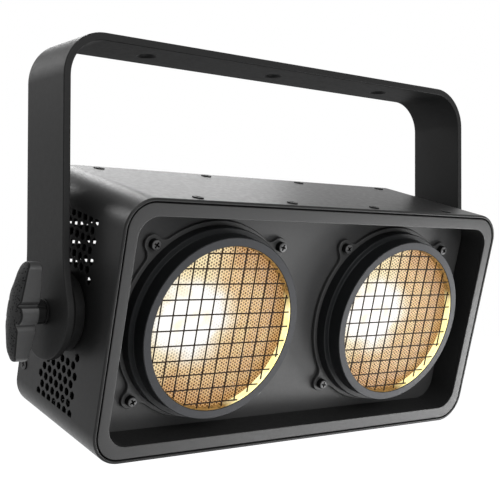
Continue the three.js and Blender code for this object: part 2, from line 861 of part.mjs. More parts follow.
function fanRotor() {
  const from = fanFront + fanStrutDepth + fitGap;
  const to = fanBack - 2 * fitGap;
  const hub = solidOf(bar(fanHubRadius, from, to, smallRound));
  const tip = fanBoreRadius - fanTipGap;
  const length = tip - fanHubRadius + chamfer;
  const blades = [];
  for (let index = 0; index < fanBlades; index += 1) {
    const chord = fanBladeShare * (to - from - fanBladeThickness) / Math.cos(fanBladeTwist * degree);
    const blade = block(length, chord, fanBladeThickness);
    blade.rotateX(fanBladeTwist * degree);
    at(blade, fanHubRadius - chamfer + length / 2, (from + to) / 2, 0);
    blade.rotateY(index * 4 * quarterTurn / fanBlades);
    blades.push(solidOf(blade));
  }
  const round = solidOf(bar(tip, from, to, smallRound));
  return geometryOf(joined([hub, ...blades]).intersect(round));
}

function driverBox() {
  const outline = roundedRectangle(driverWidth / 2, driverHeight / 2, driverCorner);
  const from = panelBack + driverBehindPanel;
  return slab(outline, from, from + driverDepth, cutCornerSteps);
}

// Controls: a circuit board behind the panel, its display in the window, and four buttons
const boardBack = rearInside - boardBehindPanel;

function controlBoard() {
  return at(block(boardWidth, boardThickness, boardHeight), 0, boardBack - boardThickness / 2, 0);
}

function displayModule() {
  const from = boardBack + fitGap;
  const to = rearOutside + displayProud;
  return at(block(displayWidth, to - from, displayHeight), displayAcross, (from + to) / 2, 0);
}

function menuButton() {
  const collarBack = rearInside - fitGap;
  const collarFront = boardBack + fitGap + buttonTravel + chamfer;
  const collar = buttonRadius + buttonCollar;
  const top = rearOutside + buttonProud;
  return turned([
    [0, collarFront], [collar, collarFront], [collar, collarBack],
    [buttonRadius, collarBack], [buttonRadius, top], [0, top],
  ], screwRound);
}

// Mains sockets: a flange outside the panel and a body through it
function cutCornerRectangle(halfX, halfY, cut) {
  const shape = new THREE.Shape();
  shape.moveTo(-halfX, -halfY);
  shape.lineTo(halfX, -halfY);
  shape.lineTo(halfX, halfY - cut);
  shape.lineTo(halfX - cut, halfY);
  shape.lineTo(-halfX + cut, halfY);
  shape.lineTo(-halfX, halfY - cut);
  shape.closePath();
  return shape;
}

function contactPlaces() {
  return [[-bladeSpread, -bladeLift], [0, bladeLift], [bladeSpread, -bladeLift]];
}

const flangeSeat = rearOutside + fitGap;

function mainsBody() {
  const flangeShape = roundedRectangle(mainsFlangeWidth / 2, mainsFlangeHeight / 2,
    mainsFlangeCorner);
  const flange = slab(flangeShape, flangeSeat, flangeSeat + mainsFlangeThickness, cutCornerSteps);
  const bodyShape = rectangle(mainsBodyWidth / 2, mainsBodyHeight / 2);
  const from = flangeSeat + mainsFlangeThickness - mainsBodyDepth;
  const body = slab(bodyShape, from, flangeSeat + chamfer);
  return solidOf(flange).add(solidOf(body));
}

function mainsInlet() {
  const mouth = flangeSeat + mainsFlangeThickness;
  const recessShape = cutCornerRectangle(mainsBodyWidth / 2 - mainsWall,
    mainsBodyHeight / 2 - mainsWall, mainsCornerCut);
  const recess = slab(recessShape, mouth - mainsRecessDepth, mouth + overrun);
  const blades = contactPlaces().map(([x, z]) => {
    const length = bladeLength + chamfer;
    const middle = mouth - mainsRecessDepth - chamfer + length / 2;
    return solidOf(at(block(bladeWidth, length, bladeHeight), x, middle, z));
  });
  return geometryOf(joined([mainsBody().subtract(solidOf(recess)), ...blades]));
}

function mainsOutlet() {
  const mouth = flangeSeat + mainsFlangeThickness;
  const slots = contactPlaces().map(([x, z]) => {
    const slot = block(contactSlotWidth, 2 * bladeLength, contactSlotHeight);
    return solidOf(at(slot, x, mouth, z));
  });
  return geometryOf(slots.reduce((body, slot) => body.subtract(slot), mainsBody()));
}

// Data sockets: a flange with a round barrel, with three pins or with three holes
function dataBody() {
  const flangeShape = roundedRectangle(dataFlangeWidth / 2, dataFlangeHeight / 2,
    dataFlangeCorner);
  const flange = slab(flangeShape, flangeSeat, flangeSeat + dataFlangeThickness, smallCornerSteps);
  const from = flangeSeat + dataFlangeThickness - dataBarrelDepth;
  const barrel = bar(dataBarrelRadius, from, flangeSeat + chamfer, smallRound);
  return solidOf(flange).add(solidOf(barrel));
}

function dataPinPlaces() {
  return [0, 1, 2].map((index) => {
    const angle = (index - 1) * quarterTurn - quarterTurn;
    return [dataPinCircle * Math.cos(angle), dataPinCircle * Math.sin(angle)];
  });
}

function dataInSocket() {
  const mouth = flangeSeat + dataFlangeThickness;
  const recess = bar(dataBarrelRadius - dataBarrelWall, mouth - dataRecessDepth, mouth + overrun,
    smallRound);
  const pins = dataPinPlaces().map(([x, z]) => {
    const from = mouth - dataRecessDepth - chamfer;
    return solidOf(at(bar(dataPinRadius, from, from + dataPinLength, tinyRound), x, 0, z));
  });
  return geometryOf(joined([dataBody().subtract(solidOf(recess)), ...pins]));
}

function dataOutSocket() {
  const mouth = flangeSeat + dataFlangeThickness;
  const cuts = dataPinPlaces().map(([x, z]) => {
    const hole = bar(dataSocketHoleRadius, mouth - dataPinLength, mouth + overrun, tinyRound);
    return solidOf(at(hole, x, 0, z));
  });
  const pocket = block(latchWidth + 2 * runningGap, 2 * latchDepth, latchHeight + 2 * runningGap);
  cuts.push(solidOf(at(pocket, 0, mouth, latchAboveCentre)));
  const latchHousing = slab(latchHousingShape(0), mouth - latchDepth - latchWall,
    flangeSeat + chamfer);
  const body = dataBody().add(solidOf(at(latchHousing, 0, 0, latchAboveCentre)));
  return geometryOf(cuts.reduce((socket, cut) => socket.subtract(cut), body));
}

function latchHousingShape(clearance) {
  const side = runningGap + latchWall + clearance;
  return rectangle(latchWidth / 2 + side, latchHeight / 2 + side);
}

// The push tab that frees the plug, sliding in a pocket of the socket's flange
function dataLatch() {
  const mouth = flangeSeat + dataFlangeThickness;
  const from = mouth - latchDepth + latchTravel + fitGap;
  const to = mouth + latchProud;
  return at(block(latchWidth, to - from, latchHeight), 0, (from + to) / 2, latchAboveCentre);
}

function fuseHolder() {
  const to = flangeSeat + fuseFlangeThickness;
  const from = to - fuseBodyDepth;
  const bore = fuseCapRadius + runningGap - chamfer;
  return turned([
    [0, from], [fuseBodyRadius, from], [fuseBodyRadius, flangeSeat],
    [fuseFlangeRadius, flangeSeat], [fuseFlangeRadius, to], [bore, to],
    [bore, to - fuseCapDepth], [0, to - fuseCapDepth],
  ], smallRound);
}

function fuseCap() {
  const seat = flangeSeat + fuseFlangeThickness + fitGap;
  const top = seat + fuseCapProud;
  const neck = fuseCapRadius - chamfer;
  const body = solidOf(turned([
    [0, seat - fuseCapDepth + 2 * fitGap], [neck, seat - fuseCapDepth + 2 * fitGap], [neck, seat],
    [fuseCapRadius, seat], [fuseCapRadius, top], [0, top],
  ], smallRound));
  const slot = block(2 * fuseCapRadius + overrun, 2 * fuseSlotDepth, fuseSlotWidth);
  return geometryOf(body.subtract(solidOf(at(slot, 0, top, 0))));
}

// Safety eye: a folded plate with a foot on the panel and a holed tab standing off it
function safetyEye() {
  const foot = block(eyeFootWidth, eyeStock, eyeFootHeight);
  at(foot, 0, flangeSeat + eyeStock / 2, 0);
  const tabShape = new THREE.Shape();
  const holeY = flangeSeat + eyeStandOff;
  tabShape.moveTo(-eyeRadius, flangeSeat);
  tabShape.lineTo(eyeRadius, flangeSeat);
  tabShape.absarc(0, holeY, eyeRadius, 0, Math.PI, false);
  tabShape.closePath();
  tabShape.holes.push(circle(0, holeY, eyeHoleRadius));
  const tab = new THREE.ExtrudeGeometry(tabShape, {
    depth: eyeStock, bevelEnabled: false, curveSegments: roundHoleSteps,
  });
  at(tab, 0, 0, -eyeStock / 2);
  return geometryOf(solidOf(foot).add(solidOf(tab)));
}

// Finishes: colour, roughness and metalness
const finishes = {
  blackPaint: [0x29292b, 0.62, 0.1],
  bezelPaint: [0x3a3a3c, 0.6, 0.1],
  recessBlack: [0x0d0d0e, 0.8, 0],
  ringPaint: [0x1f2023, 0.5, 0.2],
  moulding: [0x1c1c1d, 0.75, 0],
  rubber: [0x141414, 0.9, 0],
  steel: [0xb4b6b8, 0.35, 0.9],
  darkSteel: [0x3c3d40, 0.45, 0.8],
  aluminium: [0xa9abad, 0.45, 0.85],
  reflector: [0xe6cf9a, 0.25, 0.9],
  lens: [0xf6e6bf, 0.3, 0],
  board: [0x17452c, 0.6, 0.1],
  emitter: [0xe8c44a, 0.5, 0],
  display: [0x16181c, 0.15, 0],
};

function addPart(group, name, geometry, finish, x = 0, y = 0, z = 0) {
  const [color, roughness, metalness] = finishes[finish];
  const material = new THREE.MeshStandardMaterial({ color, roughness, metalness });
  const mesh = new THREE.Mesh(geometry, material);
  mesh.name = name;
  mesh.position.set(x, y, z);
  group.add(mesh);
  return mesh;
}

// The left pieces are the right ones turned half round about the upright axis
function addPivotSet(yokeGroup, pivotGroup, side, turn) {
  const yokeSide = new THREE.Group();
  yokeSide.rotation.z = turn;
  yokeGroup.add(yokeSide);
  addPart(yokeSide, `${side}_friction_washer`, frictionWasher(), 'rubber');
  const housingSide = new THREE.Group();
  housingSide.rotation.z = turn;
  pivotGroup.add(housingSide);
  addPart(housingSide, `${side}_pivot_boss`, pivotBoss(), 'blackPaint');
  addPart(housingSide, `${side}_pivot_nut`, pivotNut(), 'steel');
  addPart(housingSide, `${side}_knob_washer`, knobWasher(), 'darkSteel');
  addPart(housingSide, `${side}_knob_stud`, knobStud(), 'steel');
  const lean = (turn > 0 ? -1 : 1) * (restTilt - knobLean) * degree;
  addPart(housingSide, `${side}_knob`, knob(), 'moulding').rotation.x = lean;
}

function addLamp(housing, side, x) {
  addPart(housing, `${side}_lamp_ring`, lampRing(), 'ringPaint', x);
  addPart(housing, `${side}_wire_grid`, wireGrid(), 'darkSteel', x);
  addPart(housing, `${side}_lens`, lens(), 'lens', x);
  addPart(housing, `${side}_reflector`, reflector(), 'reflector', x);
  addPart(housing, `${side}_led_module`, ledModule(), 'emitter', x);
  addPart(housing, `${side}_heat_sink`, heatSink(), 'aluminium', x);
  const corners = ['top_left', 'top_right', 'bottom_left', 'bottom_right'];
  earPlaces().forEach(([earX, earZ], index) => {
    const name = `${side}_ring_screw_${corners[index]}`;
    addPart(housing, name, ringScrew(), 'steel', x + earX, 0, earZ);
  });
}

function addControls(housing) {
  addPart(housing, 'control_board', controlBoard(), 'board', 0, 0, controlAboveMiddle);
  addPart(housing, 'display_module', displayModule(), 'display', 0, 0, controlAboveMiddle);
  for (const [name, x] of buttonPlaces()) {
    addPart(housing, `${name}_button`, menuButton(), 'moulding', x, 0, controlAboveMiddle);
  }
}

function addSockets(housing) {
  const z = -socketsBelowMiddle;
  addPart(housing, 'mains_inlet', mainsInlet(), 'moulding', mainsInAcross, 0, z);
  addPart(housing, 'mains_outlet', mainsOutlet(), 'moulding', mainsOutAcross, 0, z);
  addPart(housing, 'fuse_holder', fuseHolder(), 'moulding', fuseAcross, 0, z);
  addPart(housing, 'fuse_cap', fuseCap(), 'moulding', fuseAcross, 0, z);
  addPart(housing, 'data_in_socket', dataInSocket(), 'darkSteel', dataInAcross, 0, z);
  addPart(housing, 'data_out_socket', dataOutSocket(), 'darkSteel', dataOutAcross, 0, z);
  addPart(housing, 'data_out_latch', dataLatch(), 'steel', dataOutAcross, 0, z);
}

function blinderLight() {
  const light = new THREE.Group();
  const yokeGroup = new THREE.Group();
  yokeGroup.position.z = -yokeDrop;
  light.add(yokeGroup);
  addPart(yokeGroup, 'yoke_bracket', geometryOf(yokeBracket()), 'blackPaint');
  const pivotGroup = new THREE.Group();
  pivotGroup.rotation.x = restTilt * degree;
  yokeGroup.add(pivotGroup);
  addPivotSet(yokeGroup, pivotGroup, 'right', 0);
  addPivotSet(yokeGroup, pivotGroup, 'left', 2 * quarterTurn);
  const housing = new THREE.Group();
  housing.position.z = pivotBelowMiddle;
  pivotGroup.add(housing);
  addPart(housing, 'housing_shell', housingShell(), 'blackPaint');
  addPart(housing, 'front_bezel', frontBezel(), 'bezelPaint');
  addPart(housing, 'recess_frame', recessFrame(), 'recessBlack');
  addPart(housing, 'lamp_panel', lampPanel(), 'bezelPaint');
  addPart(housing, 'rear_panel', rearPanel(), 'blackPaint');
  addLamp(housing, 'left', -lampAcross);
  addLamp(housing, 'right', lampAcross);
  addPart(housing, 'fan_frame', fanFrame(), 'moulding', 0, 0, fanAboveMiddle);
  addPart(housing, 'fan_rotor', fanRotor(), 'moulding', 0, 0, fanAboveMiddle);
  addPart(housing, 'driver_box', driverBox(), 'aluminium', 0, 0, fanAboveMiddle);
  addControls(housing);
  addSockets(housing);
  addPart(housing, 'safety_eye', safetyEye(), 'darkSteel', eyeAcross, 0, eyeAboveMiddle);
  return light;
}

export default blinderLight();
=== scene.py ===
"""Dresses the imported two-lamp blinder light and sets it in the photograph's view.

Meshes are drafted in millimetres in one of three frames and then placed in the row frame:
the yoke frame (level, at the pivot axis), the pivot frame (tilted with the housing) and the
housing frame (tilted, at the housing's middle). The front faces -Y.
"""
import math
import random

import bmesh
import bpy
from mathutils import Matrix, Vector, geometry


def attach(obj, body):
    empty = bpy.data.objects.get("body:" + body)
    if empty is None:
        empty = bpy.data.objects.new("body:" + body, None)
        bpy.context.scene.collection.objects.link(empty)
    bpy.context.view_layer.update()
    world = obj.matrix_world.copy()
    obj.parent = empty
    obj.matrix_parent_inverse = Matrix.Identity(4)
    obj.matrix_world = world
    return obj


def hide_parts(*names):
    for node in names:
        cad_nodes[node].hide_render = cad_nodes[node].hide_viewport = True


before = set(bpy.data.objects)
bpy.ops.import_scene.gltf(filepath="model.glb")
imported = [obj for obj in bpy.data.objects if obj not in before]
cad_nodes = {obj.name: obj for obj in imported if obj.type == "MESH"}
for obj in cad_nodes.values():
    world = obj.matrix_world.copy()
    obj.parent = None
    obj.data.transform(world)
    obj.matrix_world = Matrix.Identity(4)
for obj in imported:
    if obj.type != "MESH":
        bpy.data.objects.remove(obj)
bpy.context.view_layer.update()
random.seed(7)

MM = 0.001
# The pivot axis lies below the crossbar's top, and the housing's middle above the pivot axis.
DROP, RISE = 207.5, 1
TILT = math.radians(15)
AXIS = Matrix.Translation((0, 0, -DROP * MM))
YOKE = AXIS @ Matrix.Scale(MM, 4)
PIVOT = AXIS @ Matrix.Rotation(TILT, 4, "X") @ Matrix.Scale(MM, 4)
HOUSING = PIVOT @ Matrix.Translation((0, 0, RISE))
HALF_TURN = Matrix.Rotation(math.pi, 4, "Z")
HALF_WIDTH, HALF_HEIGHT, CORNER = 203, 100.5, 24.5
FRONT, REAR = -63.5, 63.5
# The lamp rings and the recess walls end here, just in front of the lamp panel.
SEAT = -34.8
LAMP_X, BORE = 98.65, 66
LAMPS = {"left": -LAMP_X, "right": LAMP_X}


# Materials

SPECULAR = "Specular IOR Level"


def tone(red, green=None, blue=None):
    """A colour written as 0-255 screen values, as linear RGBA."""
    values = (red, red if green is None else green, red if blue is None else blue)
    linear = [((v / 255 + 0.055) / 1.055) ** 2.4 if v > 10 else v / 3295 for v in values]
    return (*linear, 1)


class Nodes:
    """Short calls that add nodes to a tree and join them."""

    def __init__(self, tree):
        self.tree = tree

    def add(self, kind, values=None, **settings):
        node = self.tree.nodes.new(kind)
        for key, value in settings.items():
            setattr(node, key, value)
        for socket, value in (values or {}).items():
            self.set(node, socket, value)
        return node

    def set(self, node, socket, value):
        if isinstance(value, bpy.types.NodeSocket):
            self.tree.links.new(value, node.inputs[socket])
        else:
            node.inputs[socket].default_value = value

    def math(self, operation, first, second=0.0, clamp=False):
        node = self.add("ShaderNodeMath", {0: first, 1: second}, operation=operation,
                        use_clamp=clamp)
        return node.outputs[0]

    def vector(self, operation, first, second=(0, 0, 0)):
        node = self.add("ShaderNodeVectorMath", {0: first, 1: second}, operation=operation)
        return node.outputs["Value" if operation in ("LENGTH", "DISTANCE") else "Vector"]

    def parts(self, vector):
        return self.add("ShaderNodeSeparateXYZ", {"Vector": vector}).outputs

    def towards(self, vector, across, up):
        """How far a point lies along a direction that is given as shares of x and y."""
        sides = self.parts(vector)
        return self.math("ADD", self.math("MULTIPLY", sides["X"], across),
                         self.math("MULTIPLY", sides["Y"], up))

    def spread(self, value, low, high, to_low, to_high):
        values = {"Value": value, 1: low, 2: high, 3: to_low, 4: to_high}
        return self.add("ShaderNodeMapRange", values).outputs["Result"]

    def mix(self, share, first, second):
        values = {0: share, 6: first, 7: second}
        return self.add("ShaderNodeMix", values, data_type="RGBA").outputs[2]

    def bump(self, height, strength, distance):
        values = {"Height": height, "Strength": strength, "Distance": distance}
        return self.add("ShaderNodeBump", values).outputs["Normal"]

    def seen(self):
        """One for rays from the camera and for those that gloss or glass sends on, else zero."""
        path = self.add("ShaderNodeLightPath").outputs
        direct = self.math("ADD", path["Is Camera Ray"], path["Is Glossy Ray"])
        return self.math("ADD", direct, path["Is Transmission Ray"], clamp=True)


class Material(Nodes):
    """A new material with its shader and each point's place in the object, in metres."""

    def __init__(self, name):
        self.material = bpy.data.materials.new(name)
        self.material.use_nodes = True
        super().__init__(self.material.node_tree)
        self.shader = self.tree.nodes["Principled BSDF"]
        self.place = self.add("ShaderNodeTexCoord").outputs["Object"]

    def noise(self, scale, detail=3, vector=None):
        values = {"Vector": vector or self.place, "Scale": scale, "Detail": detail}
        return self.add("ShaderNodeTexNoise", values).outputs["Fac"]

    def cells(self, scale, randomness=1.0):
        values = {"Vector": self.place, "Scale": scale, "Randomness": randomness}
        return self.add("ShaderNodeTexVoronoi", values).outputs["Distance"]

    def spot(self):
        """The vertex attribute of the lit pieces: millimetres from the lamp's middle."""
        return self.add("ShaderNodeAttribute", attribute_name="spot").outputs["Vector"]

    def shade(self, values):
        """Gives the shader's sockets plain values or what other nodes put out."""
        for socket, value in values.items():
            self.set(self.shader, socket, value)
        return self.material


def coat(name, dark, light, rough, metal=0.0, specular=0.5, grain=1500, depth=0.00006,
         strength=0.3, dull_below=False):
    """A painted, moulded or cast surface: faintly mottled, evenly satin, with a fine grain.

    With dull_below, faces that look down have hardly any gloss.
    """
    made = Material(name)
    broad = made.spread(made.noise(9, 4), 0.35, 0.65, 0, 0.6)
    fine = made.spread(made.noise(420), 0.35, 0.65, 0, 0.4)
    lowest = max(rough - 0.03, 0.05)
    made.shade({
        "Base Color": made.mix(made.math("ADD", broad, fine), dark, light),
        "Roughness": made.spread(made.noise(260), 0.3, 0.7, lowest, rough + 0.03),
        "Normal": made.bump(made.noise(grain, 2), strength, depth),
        "Metallic": metal,
        SPECULAR: specular,
    })
    if dull_below:
        upward = made.parts(made.add("ShaderNodeNewGeometry").outputs["Normal"])["Z"]
        made.shade({SPECULAR: made.spread(upward, -0.95, -0.3, 0.01, specular)})
    return made.material


def stipple(name, dark, light, pit):
    """A leathery moulded grip: small round pits, painted darker than the ground between them as
    shade in the pits.
    """
    made = Material(name)
    cells = made.cells(520, 0.85)
    ground = made.mix(made.noise(700), dark, light)
    return made.shade({
        # The pits' near-black colour is painted shade.
        "Base Color": made.mix(made.spread(cells, 0.18, 0.42, 1, 0), ground, pit),
        "Roughness": made.spread(cells, 0.1, 0.5, 0.75, 0.5),
        "Normal": made.bump(made.math("MINIMUM", cells, 0.45), 0.9, 0.0005),
        SPECULAR: 0.06,
    })


def brushed(name, dark, light, rough):
    """Bare metal with fine lines across z and a few dull patches."""
    made = Material(name)
    lines = made.noise(220, 4, made.vector("MULTIPLY", made.place, (1, 1, 30)))
    return made.shade({
        "Base Color": made.mix(lines, dark, light),
        "Roughness": made.spread(made.noise(40, 4), 0.3, 0.7, rough - 0.08, rough + 0.12),
        "Normal": made.bump(lines, 0.15, 0.0001),
        "Metallic": 1.0,
    })


# Lit materials: the lamp's light leaves the hot spot at the upper left for the lower right

LIGHT_ACROSS, LIGHT_UP = 0.9, -0.44
HOT_SPOT = (-27, 8, 0)
# Colours by the distance from the hot spot, as shares of 100 mm
HOT_STOPS = ((0.0, tone(255, 255, 255)), (0.24, tone(255, 255, 252)), (0.33, tone(248, 232, 204)),
             (0.42, tone(236, 200, 146)), (0.7, tone(206, 156, 96)), (0.95, tone(176, 120, 56)))
LENSLET, LENSLET_TURN = 2.6, math.radians(33)


def dots(made, spot, pitch, turn):
    """How near each point is to the closest place of a turned hexagonal grid, in millimetres."""
    turned = made.add("ShaderNodeVectorRotate", {"Vector": spot, "Angle": turn},
                      rotation_type="Z_AXIS").outputs["Vector"]
    row = pitch * math.sqrt(3)
    shares = made.vector("DIVIDE", turned, (pitch, row, 1))
    distances = []
    for shift in ((0, 0, 0), (0.5, 0.5, 0)):
        share = made.vector("FRACTION", made.vector("ADD", shares, shift))
        from_middle = made.vector("SUBTRACT", share, (0.5, 0.5, 0))
        distances.append(made.vector("LENGTH", made.vector("MULTIPLY", from_middle,
                                                           (pitch, row, 0))))
    return made.math("MINIMUM", *distances)


def lens_ground(made, spot, hot):
    """The lens's broad colours: white at the hot spot, cream beyond it, amber to the far rim."""
    ramp = made.add("ShaderNodeValToRGB", {"Fac": made.math("DIVIDE", hot, 100)})
    elements = ramp.color_ramp.elements
    for index, (share, colour) in enumerate(HOT_STOPS):
        stop = elements[index] if index < 2 else elements.new(share)
        stop.position = share
        stop.color = colour
    golden = made.spread(made.noise(0.06, 1, spot), 0.52, 0.7, 0, 0.4)
    ground = made.mix(golden, ramp.outputs["Color"], tone(246, 226, 160))
    pale = made.spread(made.towards(spot, -LIGHT_ACROSS, -LIGHT_UP), 18, 44, 0, 0.85)
    outer = made.spread(made.vector("LENGTH", spot), 44, 62, 0, 0.85)
    rim = made.math("MULTIPLY", outer, made.spread(pale, 0, 0.5, 1, 0))
    ground = made.mix(rim, ground, tone(178, 118, 46))
    cream = made.math("MULTIPLY", pale, made.spread(hot, 20, 40, 0, 1))
    ground = made.mix(cream, ground, tone(250, 240, 194))
    corner = made.spread(made.towards(spot, 0.8, 0.6), 34, 60, 0, 0.5)
    return made.mix(corner, ground, tone(146, 98, 48))


def fly_eye(name):
    """A lit plate of small round lenslets: warm, with a white hot spot and dark gaps as dots."""
    made = Material(name)
    spot = made.spot()
    wavy = made.add("ShaderNodeTexNoise", {"Vector": spot, "Scale": 0.045, "Detail": 2})
    drift = made.vector("SUBTRACT", wavy.outputs["Color"], (0.5, 0.5, 0.5))
    bent = made.vector("ADD", spot, made.vector("MULTIPLY", drift, (22, 22, 0)))
    hot = made.vector("DISTANCE", made.vector("MULTIPLY", bent, (0.85, 1, 0)), HOT_SPOT)
    nearest = dots(made, spot, LENSLET, LENSLET_TURN)
    lift = made.math("MULTIPLY", made.spread(nearest, 0.95, 1.35, 0, 0.55),
                     made.spread(hot, 20, 50, 0, 1))
    ground = made.mix(lift, lens_ground(made, spot, hot), tone(250, 216, 160))
    weight = made.math("MULTIPLY", made.spread(hot, 17, 40, 0, 1),
                       made.spread(made.noise(0.35, 2, spot), 0.35, 0.6, 0.55, 1))
    # The dots are a little wider towards the lens's foot.
    reach = made.math("SUBTRACT", nearest, made.spread(made.parts(spot)["Y"], -62, 10, 0.12, 0))
    dot = made.math("MULTIPLY", made.spread(reach, 0.62, 1.1, 1, 0), weight, clamp=True)
    lit = made.mix(dot, ground, tone(62, 36, 12))
    return made.shade({
        "Emission Color": lit,
        "Emission Strength": 0.95,
        "Base Color": made.mix(0.9, lit, tone(46, 32, 20)),
        "Normal": made.bump(nearest, 0.5, 0.0004),
        "Roughness": made.spread(nearest, 0, 1.2, 0.2, 0.4),
        SPECULAR: 0.2,
    })


def glow_wall(name):
    """The bore's wall in front of the lens, in painted light: it glows bright yellow where the
    lamp's light falls, and dimmer and dotted elsewhere.
    """
    made = Material(name)
    spot = made.spot()
    aimed = made.towards(spot, LIGHT_ACROSS / BORE, LIGHT_UP / BORE)
    facing = made.spread(aimed, 0.62, 0.8, 0, 1)
    streak = made.noise(90)
    bright = made.mix(made.spread(streak, 0.3, 0.7, 0, 1), tone(255, 246, 166),
                      tone(255, 250, 206))
    between = made.spread(made.cells(480), 0.36, 0.52, 0, 1)
    dull = made.mix(between, tone(64, 40, 16), tone(180, 134, 74))
    mouth = made.spread(made.parts(spot)["Z"], 0, 10, 0, 0.2)
    return made.shade({
        "Base Color": made.mix(facing, tone(46, 32, 18), bright),
        "Emission Color": made.mix(mouth, made.mix(facing, dull, bright), tone(226, 190, 100)),
        "Emission Strength": made.spread(facing, 0, 1, 0.6, 0.85),
        "Roughness": made.spread(streak, 0.3, 0.7, 0.3, 0.5),
    })


MATERIALS = {
    "yoke": coat("yoke_paint", tone(24), tone(28), 0.5, specular=0.11, depth=0.00002,
                 strength=0.1, dull_below=True),
    "shell": coat("shell_paint", tone(20), tone(25), 0.39, specular=0.16, depth=0.00002,
                  strength=0.1),
    "bezel": coat("bezel_paint", tone(27), tone(32), 0.44, specular=0.3),
    "recess": coat("recess_paint", tone(24), tone(29), 0.6, specular=0.2),
    "panel": coat("panel_paint", tone(50), tone(56), 0.48, specular=0.25),
    "ring": coat("ring_paint", tone(22, 23, 24), tone(27, 28, 29), 0.45, specular=0.15),
    # The ring's front face: the ring paint with a slight blue tint, made lighter as painted light.
    "ring_lit_front": coat("ring_front_painted_light", tone(34, 35, 38), tone(39, 40, 43), 0.46, specular=0.18),
    "knob": stipple("knob_stipple", tone(44), tone(56), tone(8)),
    "knob_flank": coat("knob_moulding", tone(44), tone(50), 0.4, specular=0.4),
    # Near black: the flat washers' own blackened colour, and painted shade on the knobs' hubs and
    # crown edges.
    "hub": coat("blackened_and_painted_shade", tone(15), tone(19), 0.55, specular=0.1),
    "plastic": coat("black_plastic", tone(24), tone(30), 0.5, specular=0.3, grain=900),
    "fibre": coat("fibre_disc", tone(26), tone(36), 0.9, specular=0.1, grain=600, depth=0.0002),
    "wire": coat("wire_blacked", tone(30, 21, 12), tone(46, 33, 18), 0.5, specular=0.1),
    "dark": coat("dark_steel", tone(62), tone(74), 0.38, metal=0.7),
    "screw": coat("screw_steel", tone(62), tone(74), 0.4, specular=0.4),
    "bare": coat("bare_steel", tone(130), tone(158), 0.34, metal=0.9),
    # Near black for the screws' cross recesses and head sides: painted shade.
    "socket": coat("screw_painted_shade", tone(10), tone(15), 0.6, specular=0.1),
    "glass": coat("display_glass", tone(13, 16, 20), tone(18, 22, 27), 0.1, specular=0.6,
                  depth=0.00001, strength=0.05),
    "board": coat("board_lacquer", tone(18, 66, 42), tone(24, 82, 52), 0.4, grain=500),
    "aluminium": brushed("bare_aluminium", tone(150), tone(188), 0.36),
    "reflector": brushed("reflector_metal", tone(222, 196, 140), tone(250, 228, 176), 0.22),
    "emitter": coat("emitter_yellow", tone(222, 178, 56), tone(244, 206, 88), 0.5),
    "lens": fly_eye("lit_lens"),
    # Painted light: emission on the bore wall and the wires' hoop, which are no lamps.
    "glow": glow_wall("bore_painted_glow"),
}


# Mesh drafts

# Edges that turn by more degrees than this stay sharp.
SMOOTH = 32
CORNERS = ((1, 1), (-1, 1), (-1, -1), (1, -1))


def crosses(point, start, end):
    """Whether a line from the point towards larger x meets the edge."""
    if (start.y > point.y) == (end.y > point.y):
        return False
    return point.x < start.x + (point.y - start.y) * (end.x - start.x) / (end.y - start.y)


class Draft:
    """Corners and faces in millimetres, gathered before they become one Blender mesh."""

    def __init__(self):
        self.points = []
        self.faces = []
        self.paint = []

    def ring(self, points):
        start = len(self.points)
        self.points.extend(Vector(point) for point in points)
        return list(range(start, len(self.points)))

    def face(self, corners, paint=0):
        self.faces.append(tuple(corners))
        self.paint.append(paint)

    def bridge(self, first, second, paint=0, skip=()):
        count = len(first)
        for index in range(count):
            if index not in skip:
                after = (index + 1) % count
                self.face((first[index], first[after], second[after], second[index]), paint)

    def tube(self, rings, paint=0):
        for first, second in zip(rings, rings[1:]):
            self.bridge(first, second, paint)

    def cone(self, loop, tip, paint=0):
        for index, corner in enumerate(loop):
            self.face((tip, corner, loop[(index + 1) % len(loop)]), paint)

    def fill(self, outline, holes=(), paint=0):
        """Fills a flat outline with triangles and leaves its holes open."""
        order = [index for loop in (outline, *holes) for index in loop]
        spans = [max(self.points[index][axis] for index in order)
                 - min(self.points[index][axis] for index in order) for axis in range(3)]
        across, up = [axis for axis in range(3) if axis != spans.index(min(spans))]
        flat = [Vector((self.points[index][across], self.points[index][up])) for index in order]
        edges = []
        for loop in (outline, *holes):
            start = len(edges)
            count = len(loop)
            edges += [(start + step, start + (step + 1) % count) for step in range(count)]
        made = geometry.delaunay_2d_cdt(flat, edges, [], 0, 0.00001)
        for triangle in made[2]:
            corners = [made[3][corner][0] for corner in triangle]
            middle = (flat[corners[0]] + flat[corners[1]] + flat[corners[2]]) / 3
            if sum(crosses(middle, flat[a], flat[b]) for a, b in edges) % 2:
                self.face([order[corner] for corner in corners], paint)

    def join(self, other, paint):
        """Adds another draft, with all its faces in one paint."""
        start = len(self.points)
        self.points += other.points
        for face in other.faces:
            self.face([corner + start for corner in face], paint)

    def moved(self, matrix):
        self.points = [matrix @ point for point in self.points]
        return self

    def mesh(self, name, into, materials, smooth=SMOOTH):
        """Welds the draft, turns its faces outwards and places it with the matrix."""
        made = bpy.data.meshes.new(name)
        made.from_pydata([into @ point for point in self.points], [], self.faces)
        for key in materials:
            made.materials.append(MATERIALS[key])
        made.polygons.foreach_set("material_index", self.paint)
        work = bmesh.new()
        work.from_mesh(made)
        bmesh.ops.remove_doubles(work, verts=work.verts, dist=0.001 * MM)
        bmesh.ops.recalc_face_normals(work, faces=work.faces)
        work.to_mesh(made)
        work.free()
        made.shade_smooth()
        made.set_sharp_from_angle(angle=math.radians(smooth))
        return made


def new_object(name, data):
    made = bpy.data.objects.new(name, data)
    bpy.context.scene.collection.objects.link(made)
    return made


def even_out(made, keep_sharp=True):
    """Lets the large faces lead the shading, so that flat walls look flat beside round edges."""
    even = made.modifiers.new("even", "WEIGHTED_NORMAL")
    even.weight = 70
    even.keep_sharp = keep_sharp


